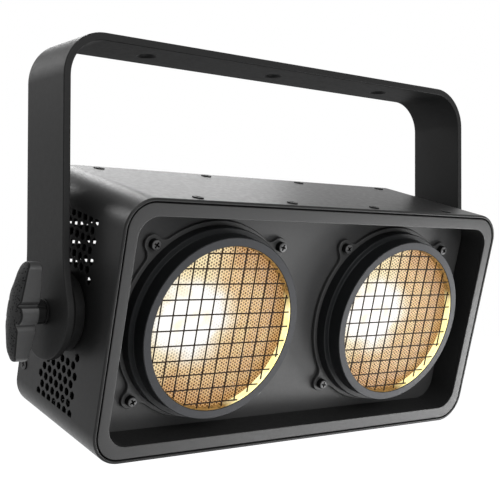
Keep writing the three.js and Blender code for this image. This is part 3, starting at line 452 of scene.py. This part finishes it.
def piece(name, draft, into, materials, body, replaced=(), smooth=SMOOTH):
    """Makes the draft an object that rides on a body and stands for the named nodes."""
    made = new_object(name, draft.mesh(name, into, materials, smooth))
    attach(made, body)
    if replaced:
        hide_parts(*replaced)
    even_out(made)
    return made


def rounded(half_x, half_z, corner, y, steps=14):
    """A rounded rectangle in x and z, anticlockwise from its right side's upper corner."""
    points = []
    for quarter, (sign_x, sign_z) in enumerate(CORNERS):
        for step in range(steps + 1):
            angle = math.pi / 2 * (quarter + step / steps)
            points.append((sign_x * (half_x - corner) + corner * math.cos(angle), y,
                           sign_z * (half_z - corner) + corner * math.sin(angle)))
    return points


def circle(radius, y, count, x=0.0, z=0.0, phase=0.0):
    turns = [2 * math.pi * step / count + phase for step in range(count)]
    return [(x + radius * math.cos(turn), y, z + radius * math.sin(turn)) for turn in turns]


def arc(centre, radius, start, end, steps):
    return [(centre[0] + radius * math.cos(start + (end - start) * step / steps),
             centre[1] + radius * math.sin(start + (end - start) * step / steps))
            for step in range(steps + 1)]


def lathe(profile, count=64, paints=None):
    """A closed profile of (radius, y) points turned about y, each of its lines in a paint."""
    draft = Draft()
    rings = []
    for radius, y in profile:
        rings.append(draft.ring(circle(radius, y, count)) if radius else draft.ring([(0, y, 0)]))
    for index, (first, second) in enumerate(zip(rings, rings[1:] + rings[:1])):
        paint = paints[index] if paints else 0
        if len(first) == 1 and len(second) == 1:
            continue
        if len(first) == 1:
            draft.cone(second, first[0], paint)
        elif len(second) == 1:
            draft.cone(first, second[0], paint)
        else:
            draft.bridge(first, second, paint)
    return draft


def eased(profile, amount, skip=()):
    """Cuts the corners of a closed (radius, y) profile, but not those skipped or on the axis."""
    result = []
    count = len(profile)
    for index, point in enumerate(profile):
        here = Vector(point)
        before = Vector(profile[index - 1])
        after = Vector(profile[(index + 1) % count])
        if index in skip or here.x == 0:
            result.append(tuple(here))
            continue
        for other in (before, after):
            run = other - here
            reach = min(amount, run.length * 0.4)
            result.append(tuple(here + run.normalized() * reach))
    return result


def inset(outline, amount):
    """A closed outline of (a, b) points moved inwards along its corners' middle normals."""
    count = len(outline)
    result = []
    for index in range(count):
        before = Vector(outline[index - 1])
        after = Vector(outline[(index + 1) % count])
        here = Vector(outline[index])
        first = (here - before).normalized()
        second = (after - here).normalized()
        normal = Vector((-(first.y + second.y), first.x + second.x))
        if normal.length:
            normal.normalize()
        result.append(tuple(here + normal * amount))
    return result


def round_edges(start, end, ease, steps):
    """The move inwards and the height of each ring of a wall that has rounded edges."""
    turns = [math.pi / 2 * step / steps for step in range(steps + 1)]
    rise = math.copysign(ease, end - start)
    levels = [(ease * (1 - math.sin(turn)), start + rise * (1 - math.cos(turn))) for turn in turns]
    return levels + [(amount, start + end - height) for amount, height in reversed(levels)]


def plate(outline, hole, front, back, ease):
    """A plate across y with rounded edges and a hole; both outlines run anticlockwise."""
    draft = Draft()
    rings = [draft.ring([(x, y, z) for x, z in inset(outline, amount)])
             for amount, y in round_edges(front, back, ease, 3)]
    draft.tube(rings)
    mouths = [draft.ring([(x, y, z) for x, z in hole]) for y in (front, back)]
    draft.tube(mouths)
    draft.fill(rings[0], mouths[:1])
    draft.fill(rings[-1], mouths[1:])
    return draft


def sideways(draft):
    """Turns a draft made along y to lie along x, pointing out to the right."""
    return draft.moved(Matrix.Rotation(-math.pi / 2, 4, "Z"))


def cut_from(target, cutter_drafts, into, material="socket"):
    """Cuts closed drafts out of an object's mesh for good; the cut faces get the material, by
    default the near-black painted shade of the screws' recesses.
    """
    target.modifiers.clear()
    cutters = []
    for index, draft in enumerate(cutter_drafts):
        name = f"cutter_{index}"
        cutter = new_object(name, draft.mesh(name, into, [material]))
        cut = target.modifiers.new("cut", "BOOLEAN")
        cut.operation = "DIFFERENCE"
        cut.solver = "EXACT"
        cut.material_mode = "TRANSFER"
        cut.object = cutter
        cutters.append(cutter)
    bpy.context.view_layer.update()
    graph = bpy.context.evaluated_depsgraph_get()
    result = bpy.data.meshes.new_from_object(target.evaluated_get(graph))
    target.modifiers.clear()
    target.data = result
    for cutter in cutters:
        bpy.data.objects.remove(cutter)
    result.set_sharp_from_angle(angle=math.radians(SMOOTH))
    even_out(target)


# Yoke

STOCK, BAR_HALF, ARM_X, BEND = 6, 28.5, 218.5, 35
BEND_MIDDLE = BEND - STOCK / 2
ARM_TOP = DROP - BEND
TAB, FILLET, BAR_EASE = 36, 120, 1.0
HOLE, HOLE_MOUTH, HOLE_LEAD, HOLE_SPACING = 6.5, 8.4, 1.2, 132
OVERRUN, SLIVER = 3, 0.01


def yoke_half_outline():
    """Points (run along the bar, half width) from tab end to tab end, and the bar's length."""
    fillet_y = BAR_HALF + FILLET
    fillet_z = math.sqrt((TAB + FILLET) ** 2 - fillet_y ** 2)
    meet = math.atan2(fillet_z, fillet_y)
    arm = []
    for step in range(29):
        turn = -math.pi / 2 + (math.pi / 2 + meet) * step / 28
        arm.append((TAB * math.sin(turn), TAB * math.cos(turn) if step else 0))
    for step in range(1, 13):
        turn = meet * (1 - step / 12)
        arm.append((fillet_z - FILLET * math.sin(turn), fillet_y - FILLET * math.cos(turn)))
    quarter = BEND_MIDDLE * math.pi / 2
    arm += [(ARM_TOP + quarter * step / 18, BAR_HALF) for step in range(19)]
    length = 2 * (ARM_TOP + quarter + ARM_X - BEND_MIDDLE)
    return arm + [(length - run, half) for run, half in reversed(arm)], length


def yoke_place(run, y, lift, length):
    """The place of a point of the flat bar once it is bent; lift is outwards from its middle."""
    side = -1
    if run > length / 2:
        side, run = 1, length - run
    if run <= ARM_TOP:
        x, z = ARM_X + lift, run
    elif run <= ARM_TOP + BEND_MIDDLE * math.pi / 2:
        turn = (run - ARM_TOP) / BEND_MIDDLE
        x = ARM_X - BEND_MIDDLE + (BEND_MIDDLE + lift) * math.cos(turn)
        z = ARM_TOP + (BEND_MIDDLE + lift) * math.sin(turn)
    else:
        x = ARM_X - BEND_MIDDLE - (run - ARM_TOP - BEND_MIDDLE * math.pi / 2)
        z = ARM_TOP + BEND_MIDDLE + lift
    return (side * x, y, z)


def crossbar_hole(x):
    """A cutter through the crossbar: a round hole that widens a little at both faces."""
    top, under = -DROP, STOCK - DROP
    profile = [(0, top - OVERRUN), (HOLE_MOUTH, top - OVERRUN), (HOLE_MOUTH, top - SLIVER),
               (HOLE, top + HOLE_LEAD), (HOLE, under - HOLE_LEAD), (HOLE_MOUTH, under + SLIVER),
               (HOLE_MOUTH, under + OVERRUN), (0, under + OVERRUN)]
    upright = lathe(profile, 40).moved(Matrix.Rotation(-math.pi / 2, 4, "X"))
    return upright.moved(Matrix.Translation((x, 0, 0)))


def make_yoke():
    half, length = yoke_half_outline()
    last = len(half) - 1
    outline = half + [(run, -width) for run, width in half[-2:0:-1]]
    draft = Draft()
    rings = []
    for amount, lift in round_edges(STOCK / 2, -STOCK / 2, BAR_EASE, 4):
        # The outline runs clockwise as it is listed, so it is moved the other way.
        moved = inset(outline, -amount)
        rings.append(draft.ring([yoke_place(run, y, lift, length) for run, y in moved]))
    draft.tube(rings)
    for ring in (rings[0], rings[-1]):
        other = [ring[-index] for index in range(last + 1)]
        for index in range(last):
            # The first and last strips are triangles, so their repeated corner is dropped.
            corners = [ring[index], ring[index + 1], other[index + 1], other[index]]
            draft.face(dict.fromkeys(corners))
    yoke = piece("yoke", draft, YOKE, ["yoke"], "yoke", ["yoke_bracket"])
    cut_from(yoke, [crossbar_hole(x) for x in (-HOLE_SPACING, 0, HOLE_SPACING)], YOKE, "yoke")


# Pivots and knobs: places along the stud count from the housing's middle

STUD_BORE = 5.4
HUB, HUB_EASE, HUB_FLARE, HUB_GAP = 9.5, 0.6, 0.3, 0.9
HUB_START, WING_START, CROWN_START = 223.6, 230.9, 240
CROWN, CROWN_WIDTH, CROWN_LENGTH = 8.5, 14.5, 38.8
MIDDLE, TIP, TIP_RADIUS, ROOT, ROOT_RADIUS = 12, 32.5, 6, 13, 9.6
BULGE, ROOT_WRAP, LEAN = math.radians(31), math.radians(15), math.radians(2.5)
NOTCH, NOTCH_START, NOTCH_END = 7.2, 6.4, 7.9
CROWN_SHARES = (0.88, 0.7, 0.5, 0.3, 0.14)
# How far the wing's edges are moved in at each height above its foot and depth under its crown
FOOT_EASE = ((0.8, 0), (0.2, 0.25), (0, 0.9))
CROWN_EASE = ((0, 0.8), (0.2, 0.25), (0.8, 0))
# Radius, start, end and cut corners of each disc on the stud
BOSS_DISC = (30, 203.3, 212.2, 0.9)
FIBRE_DISC = (28.5, 212.5, 215.2, 0.4)
FLAT_WASHER = (HUB, 221.8, 223.3, 0.25)


def grip_outline():
    """The grip's edge in y and z: two tapered wings, and a round middle set off by notches."""
    taper = math.asin((ROOT_RADIUS - TIP_RADIUS) / (TIP - ROOT))
    half = arc((0, 0), MIDDLE, -BULGE, BULGE, 12) + [(NOTCH, NOTCH_START), (NOTCH, NOTCH_END)]
    half += arc((0, ROOT), ROOT_RADIUS, -ROOT_WRAP, taper, 6)
    half += arc((0, TIP), TIP_RADIUS, taper, math.pi - taper, 20)
    half += arc((0, ROOT), ROOT_RADIUS, math.pi - taper, math.pi + ROOT_WRAP, 6)
    half += [(-NOTCH, NOTCH_END), (-NOTCH, NOTCH_START)]
    return half + [(-a, -b) for a, b in half]


def crown_height(y, z):
    fall = 1 - (y / CROWN_WIDTH) ** 2 - (z / CROWN_LENGTH) ** 2
    return CROWN_START + CROWN * math.sqrt(max(fall, 0.0))


def make_knob(side, turn):
    """A wing knob in three paints: stippled crown, smooth flanks, and a dark hub and crown edges in
    painted shade.
    """
    outline = grip_outline()
    draft = Draft()

    def scaled(share_at, height_at):
        """The grip's edge with each corner drawn in to a share, at that place's height."""
        points = []
        for y, z in outline:
            share = share_at(math.hypot(y, z))
            points.append((height_at(y * share, z * share), y * share, z * share))
        return draft.ring(points)

    def hub(x, radius):
        return scaled(lambda edge: min(radius, edge - HUB_GAP) / edge, lambda y, z: x)

    def foot(amount, up):
        return scaled(lambda edge: (edge - amount) / edge, lambda y, z: WING_START + up)

    def crown(amount, down, share=1.0):
        return scaled(lambda edge: (edge - amount) / edge * share,
                      lambda y, z: crown_height(y, z) - down)

    hubs = [hub(HUB_START, STUD_BORE), hub(HUB_START, HUB - HUB_EASE),
            hub(HUB_START + HUB_EASE, HUB), hub(WING_START - HUB_FLARE, HUB),
            hub(WING_START, HUB + HUB_FLARE)]
    feet = [foot(*ease) for ease in FOOT_EASE]
    edges = [crown(*ease) for ease in CROWN_EASE]
    tops = edges[-1:] + [crown(*CROWN_EASE[-1], share) for share in CROWN_SHARES]
    # The hub and the crown's rounded edges are painted near black: painted shade where they face
    # away from the light.
    draft.tube(hubs, 2)
    draft.tube(hubs[-1:] + feet + edges[:1], 1)
    draft.tube(edges, 2)
    draft.tube(tops)
    draft.fill(hubs[0], paint=2)
    draft.cone(tops[-1], draft.ring([(crown_height(0, 0), 0, 0)])[0])
    lean = Matrix.Rotation(-LEAN if side == "left" else LEAN, 4, "X")
    piece(f"{side}_wing_knob", draft, PIVOT @ turn @ lean, ["knob", "knob_flank", "hub"],
          f"{side}_knob_turning", [f"{side}_knob"], smooth=36)


def disc(radius, near, far, ease):
    """A flat ring round the stud with cut corners."""
    profile = [(STUD_BORE, near), (radius, near), (radius, far), (STUD_BORE, far)]
    return sideways(lathe(eased(profile, ease), 72))


def make_pivots():
    for side, turn in (("right", Matrix.Identity(4)), ("left", HALF_TURN)):
        piece(f"{side}_boss_disc", disc(*BOSS_DISC), PIVOT @ turn, ["shell"],
              "housing", [f"{side}_pivot_boss"])
        piece(f"{side}_fibre_disc", disc(*FIBRE_DISC), YOKE @ turn, ["fibre"],
              "yoke", [f"{side}_friction_washer"])
        piece(f"{side}_flat_washer", disc(*FLAT_WASHER), PIVOT @ turn, ["hub"],
              f"{side}_clamp", [f"{side}_knob_washer"])
        make_knob(side, turn)


# Housing

WALL, RIM, FOLD = 1.5, 2.6, 8
VENT, VENT_MOUTH, VENT_LEAD, VENT_MARGIN = 3.35, 3.5, 0.25, 0.4
VENT_PITCH, VENT_ROWS, VENT_COLUMNS, BOSS_CLEAR = 8.5, 21, 7, 35.9
BEZEL, OPENING = (199.5, 97, 21), (190.7, 87.1, 17)
BEZEL_BACK, BEZEL_EASE = -61, ((0, 0.7), (0.2, 0.2), (0.7, 0))
RECESS_FRONT, RECESS_WALL, RECESS_LEAD, RECESS_LEAD_START = -60.7, 2, 0.4, 1.4


def vent_places():
    """Middles (y, z) of the hexagonal vent holes, the same as the solid's."""
    places = []
    for row in range(VENT_ROWS):
        z = (row - VENT_ROWS // 2) * VENT_PITCH * math.sin(math.pi / 3)
        columns = VENT_COLUMNS - row % 2
        for column in range(columns):
            y = (column - (columns - 1) / 2) * VENT_PITCH
            if math.hypot(y, z + RISE) > BOSS_CLEAR:
                places.append((y, z))
    return places


def make_shell():
    """Sheet box with a folded rim, rounded at its edges, and a vent field in each side."""
    draft = Draft()
    section = [(0, REAR), (0, FRONT + 1.3), (0.12, FRONT + 0.7), (0.4, FRONT + 0.25),
               (0.95, FRONT), (1.8, FRONT), (2.25, FRONT + 0.15), (2.5, FRONT + 0.45),
               (RIM, FRONT + 0.9), (RIM, FRONT + FOLD), (WALL, FRONT + FOLD), (WALL, REAR)]
    outside, inside = 0, len(section) - 2
    steps = 14
    rings = [draft.ring(rounded(HALF_WIDTH - depth, HALF_HEIGHT - depth, CORNER - depth, y, steps))
             for depth, y in section]
    # The flat sides follow the last corners of each ring's second and fourth rounding.
    left, right = 2 * (steps + 1) - 1, 4 * (steps + 1) - 1
    for index, (first, second) in enumerate(zip(rings, rings[1:] + rings[:1])):
        draft.bridge(first, second, skip=(left, right) if index in (outside, inside) else ())
    # The outermost holes would run into the rounded corners, so their tips stop short.
    limit = HALF_HEIGHT - CORNER - VENT_MARGIN
    for gap, sign in ((left, -1), (right, 1)):
        mouths = []
        for y, z in vent_places():
            loops = []
            for depth, radius in ((0, VENT_MOUTH), (VENT_LEAD, VENT), (WALL, VENT)):
                x = sign * (HALF_WIDTH - depth)
                corners = [(a, b) for a, _, b in circle(radius, x, 6, y, z, math.pi / 6)]
                loops.append(draft.ring([(x, a, max(-limit, min(limit, b))) for a, b in corners]))
            draft.tube(loops)
            mouths.append((loops[0], loops[-1]))
        for wall, holes in zip((outside, inside), zip(*mouths)):
            first, second = rings[wall], rings[wall + 1]
            after = (gap + 1) % len(first)
            draft.fill([first[gap], first[after], second[after], second[gap]], holes)
    piece("shell", draft, HOUSING, ["shell"], "housing", ["housing_shell"])


def frame_section(section):
    """A closed loop of rounded rectangles: (half width, half height, corner, y) each."""
    draft = Draft()
    rings = [draft.ring(rounded(*entry)) for entry in section]
    draft.tube(rings + rings[:1])
    return draft


def grown(sizes, amount):
    """A rounded rectangle's half width, half height and corner, all larger by the amount."""
    return tuple(size + amount for size in sizes)


def make_bezel():
    outer = [(*grown(BEZEL, -depth), FRONT + back) for depth, back in BEZEL_EASE]
    inner = [(*grown(OPENING, depth), FRONT + back) for depth, back in reversed(BEZEL_EASE)]
    section = [(*BEZEL, BEZEL_BACK), *outer, *inner, (*OPENING, BEZEL_BACK)]
    piece("bezel", frame_section(section), HOUSING, ["bezel"], "housing",
          ["front_bezel"])
    outer = grown(OPENING, RECESS_WALL)
    section = [(*outer, RECESS_FRONT), (*OPENING, RECESS_FRONT),
               (*OPENING, SEAT - RECESS_LEAD_START), (*grown(OPENING, RECESS_LEAD), SEAT),
               (*outer, SEAT)]
    piece("recess_walls", frame_section(section), HOUSING, ["recess"], "housing",
          ["recess_frame"])


# Lamps

FLANGE, FLANGE_FRONT, FLANGE_BORE, FLANGE_EASE = 81, -38.1, 77.6, 0.7
EAR_CIRCLE, EAR, EAR_FILLET = 86.8, 7.2, 8
EAR_SPREAD = EAR_CIRCLE * math.sqrt(0.5)
EAR_PLACES = {f"{up}_{across}": (x * EAR_SPREAD, z * EAR_SPREAD)
              for up, z in (("top", 1), ("bottom", -1))
              for across, x in (("left", -1), ("right", 1))}
BARREL, BARREL_FRONT, STEP, STEP_FRONT, STEP_BACK = 73, -61.3, 77.5, -47.5, -37
LEDGE, LEDGE_BORE, LEDGE_DEPTH, RING_EASE = -52, 62.5, 2.5, 0.5
WIRE, WIRE_REACH, WIRE_PITCH, WIRE_LAYERS = 0.6, 65.5, 12, (-59.5, -58.4)
HOOP, HOOP_MIDDLE, HOOP_THIN, HOOP_DEEP = 65.65, -58.9, 0.12, 1.0
LENS, LENS_BACK, LENS_EDGE, LENS_DOME = 65.4, LEDGE - 0.3, 2, 1.8
SCREW_SEAT = -38.4


def flange_outline():
    """The flange's round edge with four screw ears, each run into it by two fillets."""
    far = FLANGE + EAR_FILLET
    near = EAR + EAR_FILLET
    spread = math.acos((far ** 2 + EAR_CIRCLE ** 2 - near ** 2) / (2 * far * EAR_CIRCLE))
    across = math.acos((near ** 2 + EAR_CIRCLE ** 2 - far ** 2) / (2 * near * EAR_CIRCLE))
    points = []
    for ear in range(4):
        aim = math.pi / 2 * (ear + 0.5)
        before, after = aim - spread, aim + spread
        turn = math.pi - across
        ear_at = (EAR_CIRCLE * math.cos(aim), EAR_CIRCLE * math.sin(aim))
        points += arc((0, 0), FLANGE, aim - math.pi / 2 + spread, before, 20)[1:]
        points += arc((far * math.cos(before), far * math.sin(before)), EAR_FILLET,
                      before + math.pi, aim - turn + math.pi, 6)[1:]
        points += arc(ear_at, EAR, aim - turn, aim + turn, 18)[1:]
        points += arc((far * math.cos(after), far * math.sin(after)), EAR_FILLET,
                      aim + turn + math.pi, after + math.pi, 6)[1:]
    return points


def with_spot(made, into, with_depth=False):
    """Writes the attribute that the lit materials read: across, up and depth in the lamp."""
    back = into.inverted()
    layer = made.data.attributes.new("spot", "FLOAT_VECTOR", "POINT")
    for index, vertex in enumerate(made.data.vertices):
        local = back @ vertex.co
        layer.data[index].vector = (local.x, local.z, LEDGE - local.y if with_depth else 0)


def make_ring(side, into):
    """A lamp ring: barrel, step and flange, with a bore in painted light in front of the lens's
    ledge.
    """
    ledge_back = LEDGE + LEDGE_DEPTH
    corners = [(LEDGE_BORE, LEDGE), (BORE, LEDGE), (BORE, BARREL_FRONT), (BARREL, BARREL_FRONT),
               (BARREL, STEP_FRONT), (STEP, STEP_FRONT), (STEP, STEP_BACK), (STEP, SEAT),
               (BORE, SEAT), (BORE, ledge_back), (LEDGE_BORE, ledge_back)]
    profile = eased(corners, RING_EASE, skip=(0, 1, 6, 9, 10))
    face = BARREL_FRONT + RING_EASE / 2
    paints = []
    for (radius, y), (next_radius, next_y) in zip(profile, profile[1:] + profile[:1]):
        # The front face takes the lighter copy of the ring paint: painted light.
        front = y < face and next_y < face
        # The bore in front of the ledge takes the painted glow.
        bore = radius == BORE and next_radius == BORE and max(y, next_y) <= LEDGE
        paints.append(2 if bore else 1 if front else 0)
    draft = lathe(profile, 128, paints)
    hole = [(x, z) for x, _, z in circle(FLANGE_BORE, 0, 128)]
    # The flange takes the panel's lighter paint, not the dark ring paint: painted light, as it
    # faces the same way as the panel.
    draft.join(plate(flange_outline(), hole, FLANGE_FRONT, SEAT, FLANGE_EASE), 3)
    ring = piece(f"{side}_ring", draft, into, ["ring", "ring_lit_front", "glow", "panel"], "housing",
                 [f"{side}_lamp_ring"])
    with_spot(ring, into, with_depth=True)


def make_grid(side, into):
    """Round wires: level ones in front of upright ones, their ends in a thin hoop that glows with
    the bore's painted light.
    """
    draft = Draft()
    turns = [math.pi / 4 * step for step in range(8)]
    for layer, y in enumerate(WIRE_LAYERS):
        for step in range(-5, 6):
            place = step * WIRE_PITCH
            half = math.sqrt(WIRE_REACH ** 2 - place ** 2)
            around = [(place + WIRE * math.cos(turn), y + WIRE * math.sin(turn)) for turn in turns]
            rings = [draft.ring([(end, b, a) if layer == 0 else (a, b, end) for a, b in around])
                     for end in (-half, half)]
            draft.tube(rings)
            for ring in rings:
                draft.face(ring)
    hoop = [(HOOP + HOOP_THIN * math.cos(turn), HOOP_MIDDLE + HOOP_DEEP * math.sin(turn))
            for turn in turns]
    # The hoop takes the bore's painted glow.
    draft.join(lathe(hoop, 96), 1)
    grid = piece(f"{side}_wires", draft, into, ["wire", "glow"], "housing",
                 [f"{side}_wire_grid"], smooth=50)
    with_spot(grid, into, with_depth=True)


def make_lens(side, into):
    """A round lens with a flat back and a domed front."""
    profile = [(0, LENS_BACK), (LENS, LENS_BACK)]
    for step in range(12, -1, -1):
        share = step / 12
        profile.append((LENS * share, LENS_BACK - LENS_EDGE - LENS_DOME * (1 - share ** 2)))
    lens = piece(f"{side}_fly_eye_lens", lathe(profile, 96), into, ["lens"], "housing",
                 [f"{side}_lens"])
    with_spot(lens, into)


# Screws: head radius and height, shank radius and reach, slot and material of each kind

RING_SCREW = (4.2, 4.8, 2.0, 9.0, "zinc_steel", "screw")
LOW_SCREW = (4.4, 0.9, 1.3, 1.2, "dark_steel", "plastic")
REAR_SCREW = (2.8, 1.7, 1.3, 4, "dark_steel", "dark")
FAN_SCREW = (2.4, 1.4, 1.3, 4, "dark_steel", "dark")


def pan_screw(name, into, kind, replaced=()):
    """A pan-head screw along y, its head to the front, with a cross recess; the recess and the
    head's side are near black, as painted shade.
    """
    radius, height, shank, reach, slot, material = kind
    profile = [(0, -height), (radius * 0.7, -height), (radius * 0.86, -height * 0.96),
               (radius * 0.96, -height * 0.86), (radius, -height * 0.7), (radius, 0), (shank, 0),
               (shank, reach), (0, reach)]
    # The head's lower rounding, its side and underside, and the shank are near black: painted
    # shade.
    paints = [0, 0, 0, 1, 1, 1, 1, 1, 1]
    made = piece(name, lathe(profile, 32, paints), into, [material, "socket"], "housing",
                 replaced)
    spin = random.uniform(0, math.pi / 2)
    long, thin, deep = radius * 0.7, radius * 0.19, min(height * 0.6, radius * 0.5)
    cutters = []
    for angle in (spin, spin + math.pi / 2):
        cutter = Draft()
        rings = [cutter.ring([(a * long * share, y, b * thin * share) for a, b in CORNERS])
                 for y, share in ((-height - 1, 1.0), (-height + deep, 0.6))]
        cutter.tube(rings)
        for ring in rings:
            cutter.face(ring)
        cutters.append(cutter.moved(Matrix.Rotation(angle, 4, "Y")))
    cut_from(made, cutters, into)


def make_lamps():
    for side, x in LAMPS.items():
        into = HOUSING @ Matrix.Translation((x, 0, 0))
        make_ring(side, into)
        make_grid(side, into)
        make_lens(side, into)
        for corner, (across, up) in EAR_PLACES.items():
            seat = HOUSING @ Matrix.Translation((x + across, SCREW_SEAT, up))
            pan_screw(f"{side}_{corner}_screw", seat, RING_SCREW,
                      [f"{side}_ring_screw_{corner}"])


# Small fasteners that the solids leave out

TOP_ROWS = ((54, (-160, -53.5, 53.5, 160)), (-54, (-138, -46, 46, 138)))
SIDE_PLACES = ((54, -62), (54, 62))
REAR_SEAT = 63.3
REAR_PLACES = ((-192, 84), (192, 84), (-192, -84), (192, -84), (-66, -90), (18, -90), (112, -46),
               (-118, -46))
FAN_SPREAD, FAN_RISE = 25, 4
FAN_PLACES = [(x * FAN_SPREAD, FAN_RISE + z * FAN_SPREAD) for x, z in CORNERS]


def make_fasteners():
    to_top = Matrix.Rotation(-math.pi / 2, 4, "X")
    for row, (y, places) in enumerate(TOP_ROWS):
        for index, x in enumerate(places):
            for word, turn, z in (("top", to_top, HALF_HEIGHT),
                                  ("bottom", to_top.inverted(), -HALF_HEIGHT)):
                into = HOUSING @ Matrix.Translation((x, y, z)) @ turn
                pan_screw(f"{word}_screw_{row}_{index}", into, LOW_SCREW)
    for side, sign in (("left", -1), ("right", 1)):
        turn = Matrix.Rotation(sign * math.pi / 2, 4, "Z")
        for index, (y, z) in enumerate(SIDE_PLACES):
            into = HOUSING @ Matrix.Translation((sign * HALF_WIDTH, y, z)) @ turn
            pan_screw(f"{side}_side_screw_{index}", into, LOW_SCREW)
    for word, kind, places in (("rear", REAR_SCREW, REAR_PLACES), ("fan", FAN_SCREW, FAN_PLACES)):
        for index, (x, z) in enumerate(places):
            into = HOUSING @ Matrix.Translation((x, REAR_SEAT, z)) @ HALF_TURN
            pan_screw(f"{word}_screw_{index}", into, kind)


# Nodes that keep their shape

KEPT = {
    "panel": ["lamp_panel"],
    "shell": ["rear_panel"],
    "bare": ["left_pivot_nut", "right_pivot_nut", "left_knob_stud", "right_knob_stud",
             "data_out_latch", "safety_eye"],
    "plastic": ["mains_inlet", "mains_outlet", "fuse_holder", "fuse_cap", "fan_frame",
                "fan_rotor", "menu_button", "down_button", "up_button", "enter_button"],
    "dark": ["data_in_socket", "data_out_socket"],
    "reflector": ["left_reflector", "right_reflector"],
    "emitter": ["left_led_module", "right_led_module"],
    "aluminium": ["left_heat_sink", "right_heat_sink", "driver_box"],
    "board": ["control_board"],
    "glass": ["display_module"],
}


def dress_kept_nodes():
    """Joins the flat facets, softens the edges and repaints the nodes whose shape is right."""
    for key, names in KEPT.items():
        for name in names:
            made = cad_nodes[name]
            for slot in made.material_slots:
                slot.material = MATERIALS[key]
            made.data.shade_smooth()
            weld = made.modifiers.new("weld", "WELD")
            weld.merge_threshold = 0.01 * MM
            join = made.modifiers.new("join", "DECIMATE")
            join.decimate_type = "DISSOLVE"
            join.angle_limit = math.radians(1)
            ease = made.modifiers.new("ease", "BEVEL")
            ease.width = 0.3 * MM
            ease.segments = 2
            ease.limit_method = "ANGLE"
            ease.angle_limit = math.radians(40)
            even_out(made, keep_sharp=False)


# Stage, light and camera: places and widths in metres, powers in watts

FLOOR, FLOOR_REACH = -0.95, 9
LIGHT_MIDDLE = (0, 0, -0.2)
LIGHTS = (
    ("sheen_behind", (0.72, 1.42, 0.55), (-0.15, 0, -0.11), 1.0, 5.7),
    ("sheen_above", (0.22, 1.02, 0.74), (-0.18, 0, -0.11), 0.36, 3.2),
    ("edge_behind", (-0.83, 1.06, 0.64), (-0.2, -0.05, -0.12), 0.55, 7.5),
    ("top_soft", (-0.6, 0.42, 1.3), (-0.15, 0, -0.15), 0.7, 12),
    ("fill_front", (0.0, -1.9, 0.4), LIGHT_MIDDLE, 1.3, 25),
    ("side_right", (0.94, -0.44, -0.56), (0.15, 0, -0.24), 0.32, 5.4),
    ("low_front", (0.66, -0.62, -0.84), (0.0, 0, -0.28), 0.4, 3.7),
)
CAMERA_PLACE = (-0.58066, -0.68688, -0.17573)
YAW, PITCH, ROLL = math.radians(38.95), math.radians(1.07), math.radians(0.17)
SENSOR, FOCAL_LENGTH = 36, 73.87


def make_floor():
    """A pale floor well below the hung light, close to white where the camera sees it."""
    mesh = bpy.data.meshes.new("floor")
    mesh.from_pydata([(x * FLOOR_REACH, y * FLOOR_REACH, FLOOR) for x, y in CORNERS], [],
                     [(0, 1, 2, 3)])
    floor = new_object("floor", mesh)
    made = Material("pale_floor")
    grain = made.spread(made.noise(3), 0.3, 0.7, 0.86, 0.9)
    mesh.materials.append(made.shade({
        "Base Color": made.add("ShaderNodeCombineColor", {0: grain, 1: grain, 2: grain}).outputs[0],
        "Roughness": 0.9,
        SPECULAR: 0.0,
        "Emission Color": (1, 1, 1, 1),
        "Emission Strength": made.math("MULTIPLY", made.seen(), 0.8),
    }))


def make_world():
    """Plain white where it is seen, and a dimmer even light from all round for the rest."""
    world = bpy.data.worlds.new("studio")
    bpy.context.scene.world = world
    world.use_nodes = True
    world.node_tree.nodes.clear()
    made = Nodes(world.node_tree)
    ambient = made.add("ShaderNodeBackground", {"Color": (0.95, 0.97, 1, 1), "Strength": 0.31})
    white = made.add("ShaderNodeBackground", {"Color": (1, 1, 1, 1)})
    mixed = made.add("ShaderNodeMixShader", {0: made.seen(), 1: ambient.outputs[0],
                                            2: white.outputs[0]})
    made.add("ShaderNodeOutputWorld", {"Surface": mixed.outputs[0]})


def area_light(name, place, aim, width, power):
    light = bpy.data.lights.new(name, "AREA")
    light.shape = "DISK"
    light.size = width
    light.energy = power
    made = new_object(name, light)
    made.location = place
    made.rotation_euler = (Vector(aim) - Vector(place)).to_track_quat("-Z", "Y").to_euler()


def make_camera():
    forward = Vector((math.sin(YAW) * math.cos(PITCH), math.cos(YAW) * math.cos(PITCH),
                      math.sin(PITCH)))
    level = Vector((math.cos(YAW), -math.sin(YAW), 0))
    up = level.cross(forward)
    right = level * math.cos(ROLL) + up * math.sin(ROLL)
    over = up * math.cos(ROLL) - level * math.sin(ROLL)
    lens = bpy.data.cameras.new("photo_camera")
    lens.sensor_fit = "HORIZONTAL"
    lens.sensor_width = SENSOR
    lens.lens = FOCAL_LENGTH
    lens.clip_end = 60
    camera = new_object("photo_camera", lens)
    turn = Matrix((right, over, -forward)).transposed().to_4x4()
    camera.matrix_world = Matrix.Translation(CAMERA_PLACE) @ turn
    bpy.context.scene.camera = camera


make_camera()
make_yoke()
make_pivots()
make_shell()
make_bezel()
make_lamps()
make_fasteners()
dress_kept_nodes()
make_floor()
make_world()
for entry in LIGHTS:
    area_light(*entry)
bpy.context.scene.view_settings.view_transform = "Standard"
